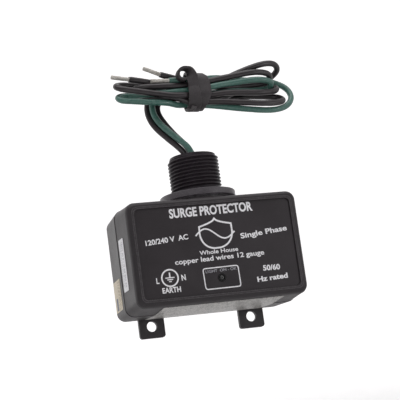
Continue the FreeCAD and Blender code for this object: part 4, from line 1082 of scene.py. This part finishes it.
def emblem():
    """A shield outline with a wave through it."""
    right = [(8.3 * i / 12, 15.0 - 3.4 * (i / 12) ** 0.55) for i in range(13)]
    for degrees in range(0, 90, 6):
        a = math.radians(degrees)
        right.append((8.4 * math.cos(a) ** 0.85, 8.2 - 8.1 * math.sin(a)))
    left = [(-x, z) for x, z in reversed(right[1:])]
    shield = stroke([(x, z + 0.04 * x) for x, z in right + left], 0.85, closed=True)
    wave = []
    for i in range(41):
        t = i / 40
        wave.append((-10.6 + 20.2 * t, 7.4 + 0.9 * (t - 0.5) + 2.9 * math.sin(2 * math.pi * t)))
    verts, faces = stroke(wave, 0.75)
    # the wave lies just over the shield
    return join([shield, ([(x, y - 0.012, z) for x, y, z in verts], faces)])


def earth_mark():
    """Earth symbol in a ring: a stem over three shrinking bars."""
    cx, cz = -26.35, -12.59
    ring = []
    for i in range(60):
        dx, dz = circle_point(4.1, 6 * i)
        ring.append((cx + dx, cz + dz))
    parts = [stroke(ring, 0.75, closed=True), stroke([(cx, cz + 2.7), (cx, cz + 0.1)], 0.7)]
    for i, half in enumerate((2.3, 1.5, 0.7)):
        bar = [(cx - half, cz + 0.1 - 0.95 * i), (cx + half, cz + 0.12 - 0.95 * i)]
        parts.append(stroke(bar, 0.5, thick=INK_THICK + 0.01))
    return join(parts)


def rounded_loop(corners, radius, count=6):
    """Rounded quadrilateral through four corners given in order."""
    corners = [np.array(q, float) for q in corners]
    loop = []
    for i, p in enumerate(corners):
        start = p + unit(corners[i - 1] - p) * radius
        end = p + unit(corners[(i + 1) % 4] - p) * radius
        for k in range(count):
            t = k / (count - 1)
            loop.append(tuple((1 - t) ** 2 * start + 2 * t * (1 - t) * p + t * t * end))
    return loop


add_print("print_emblem", emblem())
add_print("print_earth_mark", earth_mark())
window_edge = rounded_loop([(-9.24, -9.7), (8.9, -9.4), (9.13, -19.91), (-8.95, -20.04)], 1.3)
add_print("print_window_frame", stroke(window_edge, 0.55, closed=True))

# ------------------------------------------------------------------ grained bands on the rim
band_material = grain("rim_band_grain", (0.034, 0.030, 0.033), (0.074, 0.067, 0.072),
                      rough=(0.45, 0.6), fine=1500, coarse=900, bump=0.8, depth=0.18)


def rim_band(name, inner, outer, lift):
    """Raised band between two rounded rectangles: half width, half height, corner radius."""
    loops = []
    for w, h, radius in (inner, outer):
        loops.append(rounded_loop([(-w, h), (w, h), (w, -h), (-w, -h)], radius, 9))
    base, front = RIM_Y + 0.01, RIM_Y - lift
    verts = []
    for p, q in zip(*loops):
        verts += [(p[0], base, p[1]), (p[0], front, p[1]),
                  (q[0], front, q[1]), (q[0], base, q[1])]
    faces = grid_faces(len(loops[0]), 4, True, True)
    add_piece(name, (verts, faces), band_material, "housing_plastic")


rim_band("rim_band_inner", (40.40, 22.59, 2.7), (40.95, 23.14, 3.0), lift=0.03)
rim_band("rim_band_outer", (41.20, 23.39, 3.1), (41.65, 23.84, 3.2), lift=0.02)


# ------------------------------------------------------------------ window film
def cross2(a, b):
    return a[0] * b[1] - a[1] * b[0]


def ray_to_loop(origin, direction, loop):
    """Distance from the origin to the loop along the direction."""
    hits = []
    for k, point in enumerate(loop):
        p = np.array(point)
        edge = np.array(loop[(k + 1) % len(loop)]) - p
        across = cross2(direction, edge)
        if abs(across) < 1e-12:
            continue
        distance = cross2(p - origin, edge) / across
        fraction = cross2(p - origin, direction) / across
        if distance > 0 and -1e-6 <= fraction <= 1 + 1e-6:
            hits.append(distance)
    return max(hits)


def window_film():
    """Film inside the window frame, with a round opening for the lamp."""
    lamp, lamp_r, segments, thick = np.array((0, -14.8)), 2.35, 48, 0.022
    edge = rounded_loop([(-8.9, -10.0), (8.6, -9.75), (8.8, -19.6), (-8.6, -19.7)], 1.1)
    verts = []
    for i in range(segments):
        angle = 2 * math.pi * i / segments
        direction = np.array((math.cos(angle), math.sin(angle)))
        hole = lamp + lamp_r * direction
        rim = lamp + direction * ray_to_loop(lamp, direction, edge)
        verts += [(hole[0], PANEL_Y, hole[1]), (hole[0], PANEL_Y - thick, hole[1]),
                  (rim[0], PANEL_Y - thick, rim[1]), (rim[0], PANEL_Y, rim[1])]
    return verts, grid_faces(segments, 4, True, True)


add_piece("window_film", window_film(), MATS["window_film"], "overlay_film")

# ------------------------------------------------------------------ marks on the -X side labels
MARK_THICK = 0.02
FRONT_EDGE = (-45.52, 44.20)    # housing side at its front: y, half width
MID_HALF_WIDTH = 45.14          # beside the nipple axis
REAR_HALF_WIDTH = 44.28


def half_width(y):
    """Half width of the tapered housing at y."""
    front_y, front_half = FRONT_EDGE
    if y <= NIPPLE_Y:
        rise = MID_HALF_WIDTH - 0.25 - front_half
        return front_half + rise * (y - front_y) / (NIPPLE_Y - 0.35 - front_y)
    fall = REAR_HALF_WIDTH - MID_HALF_WIDTH
    return MID_HALF_WIDTH + fall * (y - NIPPLE_Y - 0.35) / (-NIPPLE_Y - 0.35)


def side_mark(y0, y1, z0, z1):
    """A thin block on the label."""
    verts = []
    for z in (z0, z1):
        for y in (y0, y1):
            x = -half_width(y) - 0.15
            verts += [(x, y, z), (x - MARK_THICK, y, z)]
    return verts, [(0, 2, 3, 1), (4, 5, 7, 6), (0, 1, 5, 4), (2, 6, 7, 3), (1, 3, 7, 5),
                   (0, 4, 6, 2)]


def mark_column(y, top, bottom, width, height, gap):
    """Marks from the top down; width, height and gap are functions called for each mark."""
    marks = []
    z = top
    while z > bottom:
        h = height()
        marks.append(side_mark(y, y + width(), z - h, z))
        z -= h + gap()
    return marks


draw = random.Random(3)
serial = mark_column(-33.6, 9.6, -13.2, width=lambda: draw.uniform(1.5, 2.2),
                     height=lambda: draw.choice((0.35, 0.5, 0.7, 0.9)),
                     gap=lambda: draw.choice((0.3, 0.35, 0.9)))
for y in (-30.6, -29.4):
    serial += mark_column(y, 9.0, -12.5, width=lambda: 0.6,
                          height=lambda: draw.uniform(0.25, 0.8),
                          gap=lambda: draw.uniform(0.25, 0.5))
add_piece("serial_marks", join(serial), MATS["grey_ink"], "white_label")
add_piece("date_bar", side_mark(-10.5, -6.2, -21.4, -15.2), MATS["navy_ink"], "date_label")
date = []
for y in (-18.6, -16.4, -14.2):
    date += mark_column(y, -7.4, -20.5, width=lambda: 1.0,
                        height=lambda: draw.uniform(0.5, 1.6),
                        gap=lambda: draw.uniform(0.4, 0.8))
add_piece("date_marks", join(date), MATS["brown_ink"], "date_label")

# ------------------------------------------------------------------ stage, metres
FLOOR_Z = -0.22
SWEEP_R = 0.65
SWEEP_Y = 0.55            # where the floor starts to curve up
HALF_WIDTH = 2.6
WALL_Y = 1.2


def build_floor():
    """Floor running up into a backdrop."""
    profile = [(y, FLOOR_Z) for y in (-2.6, -1.6, -0.8, 0.2)]
    for i in range(13):
        dy, dz = circle_point(SWEEP_R, -90 + 90 * i / 12)
        profile.append((SWEEP_Y + dy, FLOOR_Z + SWEEP_R + dz))
    profile += [(WALL_Y, z) for z in (0.9, 1.6, 2.6)]
    verts = [(-HALF_WIDTH + 2 * HALF_WIDTH * i / 12, y, z) for i in range(13) for y, z in profile]
    data = bpy.data.meshes.new("studio_floor")
    data.from_pydata(verts, [], grid_faces(13, len(profile)))
    for polygon in data.polygons:
        polygon.use_smooth = True
    floor = bpy.data.objects.new("studio_floor", data)
    scene.collection.objects.link(floor)
    floor.data.materials.append(pale_paper())
    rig.stage(floor)


def pale_paper():
    """Paper that glows more with height, so the backdrop stays pale."""
    material, tree = new_material("pale_paper")
    vector = coords(tree)
    mottle = noise_tex(tree, vector, 60, detail=4.0, rough=0.6)
    height = split_xyz(tree, vector).outputs["Z"]
    set_surface(tree, {
        "Base Color": ramp(tree, mottle, (0.3, 0.70), (0.7, 0.76)),
        "Roughness": 0.9,
        "Emission Color": (1, 1, 1, 1),
        "Emission Strength": map_range(tree, height, (-0.16, 0.0), (0.0, 0.66)),
    })
    add_bump(tree, mottle, strength=0.1, depth=0.4)
    return material


def build_world():
    """Faint tinted surround, brighter towards +Y."""
    world = bpy.data.worlds.new("studio")
    scene.world = world
    world.use_nodes = True
    tree = world.node_tree
    background = tree.nodes["Background"]
    direction = split_xyz(tree, add_node(tree, "TexCoord", {}).outputs["Generated"])
    strength = map_range(tree, direction.outputs["Y"], (-1.0, 0.3), (0.22, 0.50))
    feed(tree, background.inputs["Strength"], strength)
    background.inputs["Color"].default_value = (1.0, 0.955, 0.98, 1)


def area_light(name, place, target, size, power):
    data = bpy.data.lights.new(name, "AREA")
    data.shape = "RECTANGLE"
    data.size, data.size_y = size
    data.energy = power
    data.color = (1, 1, 1)
    light = bpy.data.objects.new(name, data)
    scene.collection.objects.link(light)
    light.location = place
    aim = Vector(target) - Vector(place)
    light.rotation_euler = aim.to_track_quat("-Z", "Y").to_euler()
    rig.stage(light)
    return light


build_floor()
build_world()
area_light("soft_top", (-0.05, -0.35, 1.05), target=(0, -0.02, 0.03), size=(1.3, 0.9), power=6.0)
soft_left = area_light("soft_left", (-1.1, -0.1, 0.35), target=(0, -0.02, 0.02),
                       size=(1.0, 1.1), power=2.4)
soft_left.visible_glossy = False
area_light("soft_right", (1.1, -0.45, 0.4), target=(0, -0.02, 0.03), size=(0.9, 0.9), power=1.2)
# small lights for crisp highlights
area_light("spark_near", (-0.30, -0.80, -0.02), target=(0, -0.02, 0.04),
           size=(0.10, 0.16), power=0.35)
area_light("spark_right", (0.52, -0.64, 0.02), target=(0, -0.02, 0.04),
           size=(0.10, 0.20), power=0.50)


# ------------------------------------------------------------------ camera
def build_camera():
    data = bpy.data.cameras.new("camera")
    data.sensor_width = 36.0
    data.sensor_fit = "HORIZONTAL"
    data.lens = 124.7447
    data.clip_start = 0.05
    data.clip_end = 20
    camera = bpy.data.objects.new("camera", data)
    scene.collection.objects.link(camera)
    place = Vector((-0.20027624, -0.69397756, -0.10539243))
    right = Vector((0.95615039, -0.26082141, -0.13322398)).normalized()
    forward = Vector((0.28288472, 0.94025378, 0.18947047)).normalized()
    up = right.cross(forward).normalized()
    right = forward.cross(up).normalized()
    rows = [(right[i], up[i], -forward[i], place[i]) for i in range(3)]
    camera.matrix_world = Matrix((*rows, (0, 0, 0, 1)))
    scene.camera = camera


build_camera()
scene.view_settings.view_transform = "Standard"
scene.view_settings.look = "None"
scene.view_settings.exposure = 0.0
scene.view_settings.gamma = 1.0

bpy.context.view_layer.update()
visual_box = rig.bounds()
# guards against a work folder that is missing or can't be written
try:
    with open("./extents.json", "w") as fh:
        json.dump({"cad": [[float(c) for c in p] for p in cad_box],
                   "visual": [[float(c) for c in p] for p in visual_box]}, fh)
except OSError:
    pass
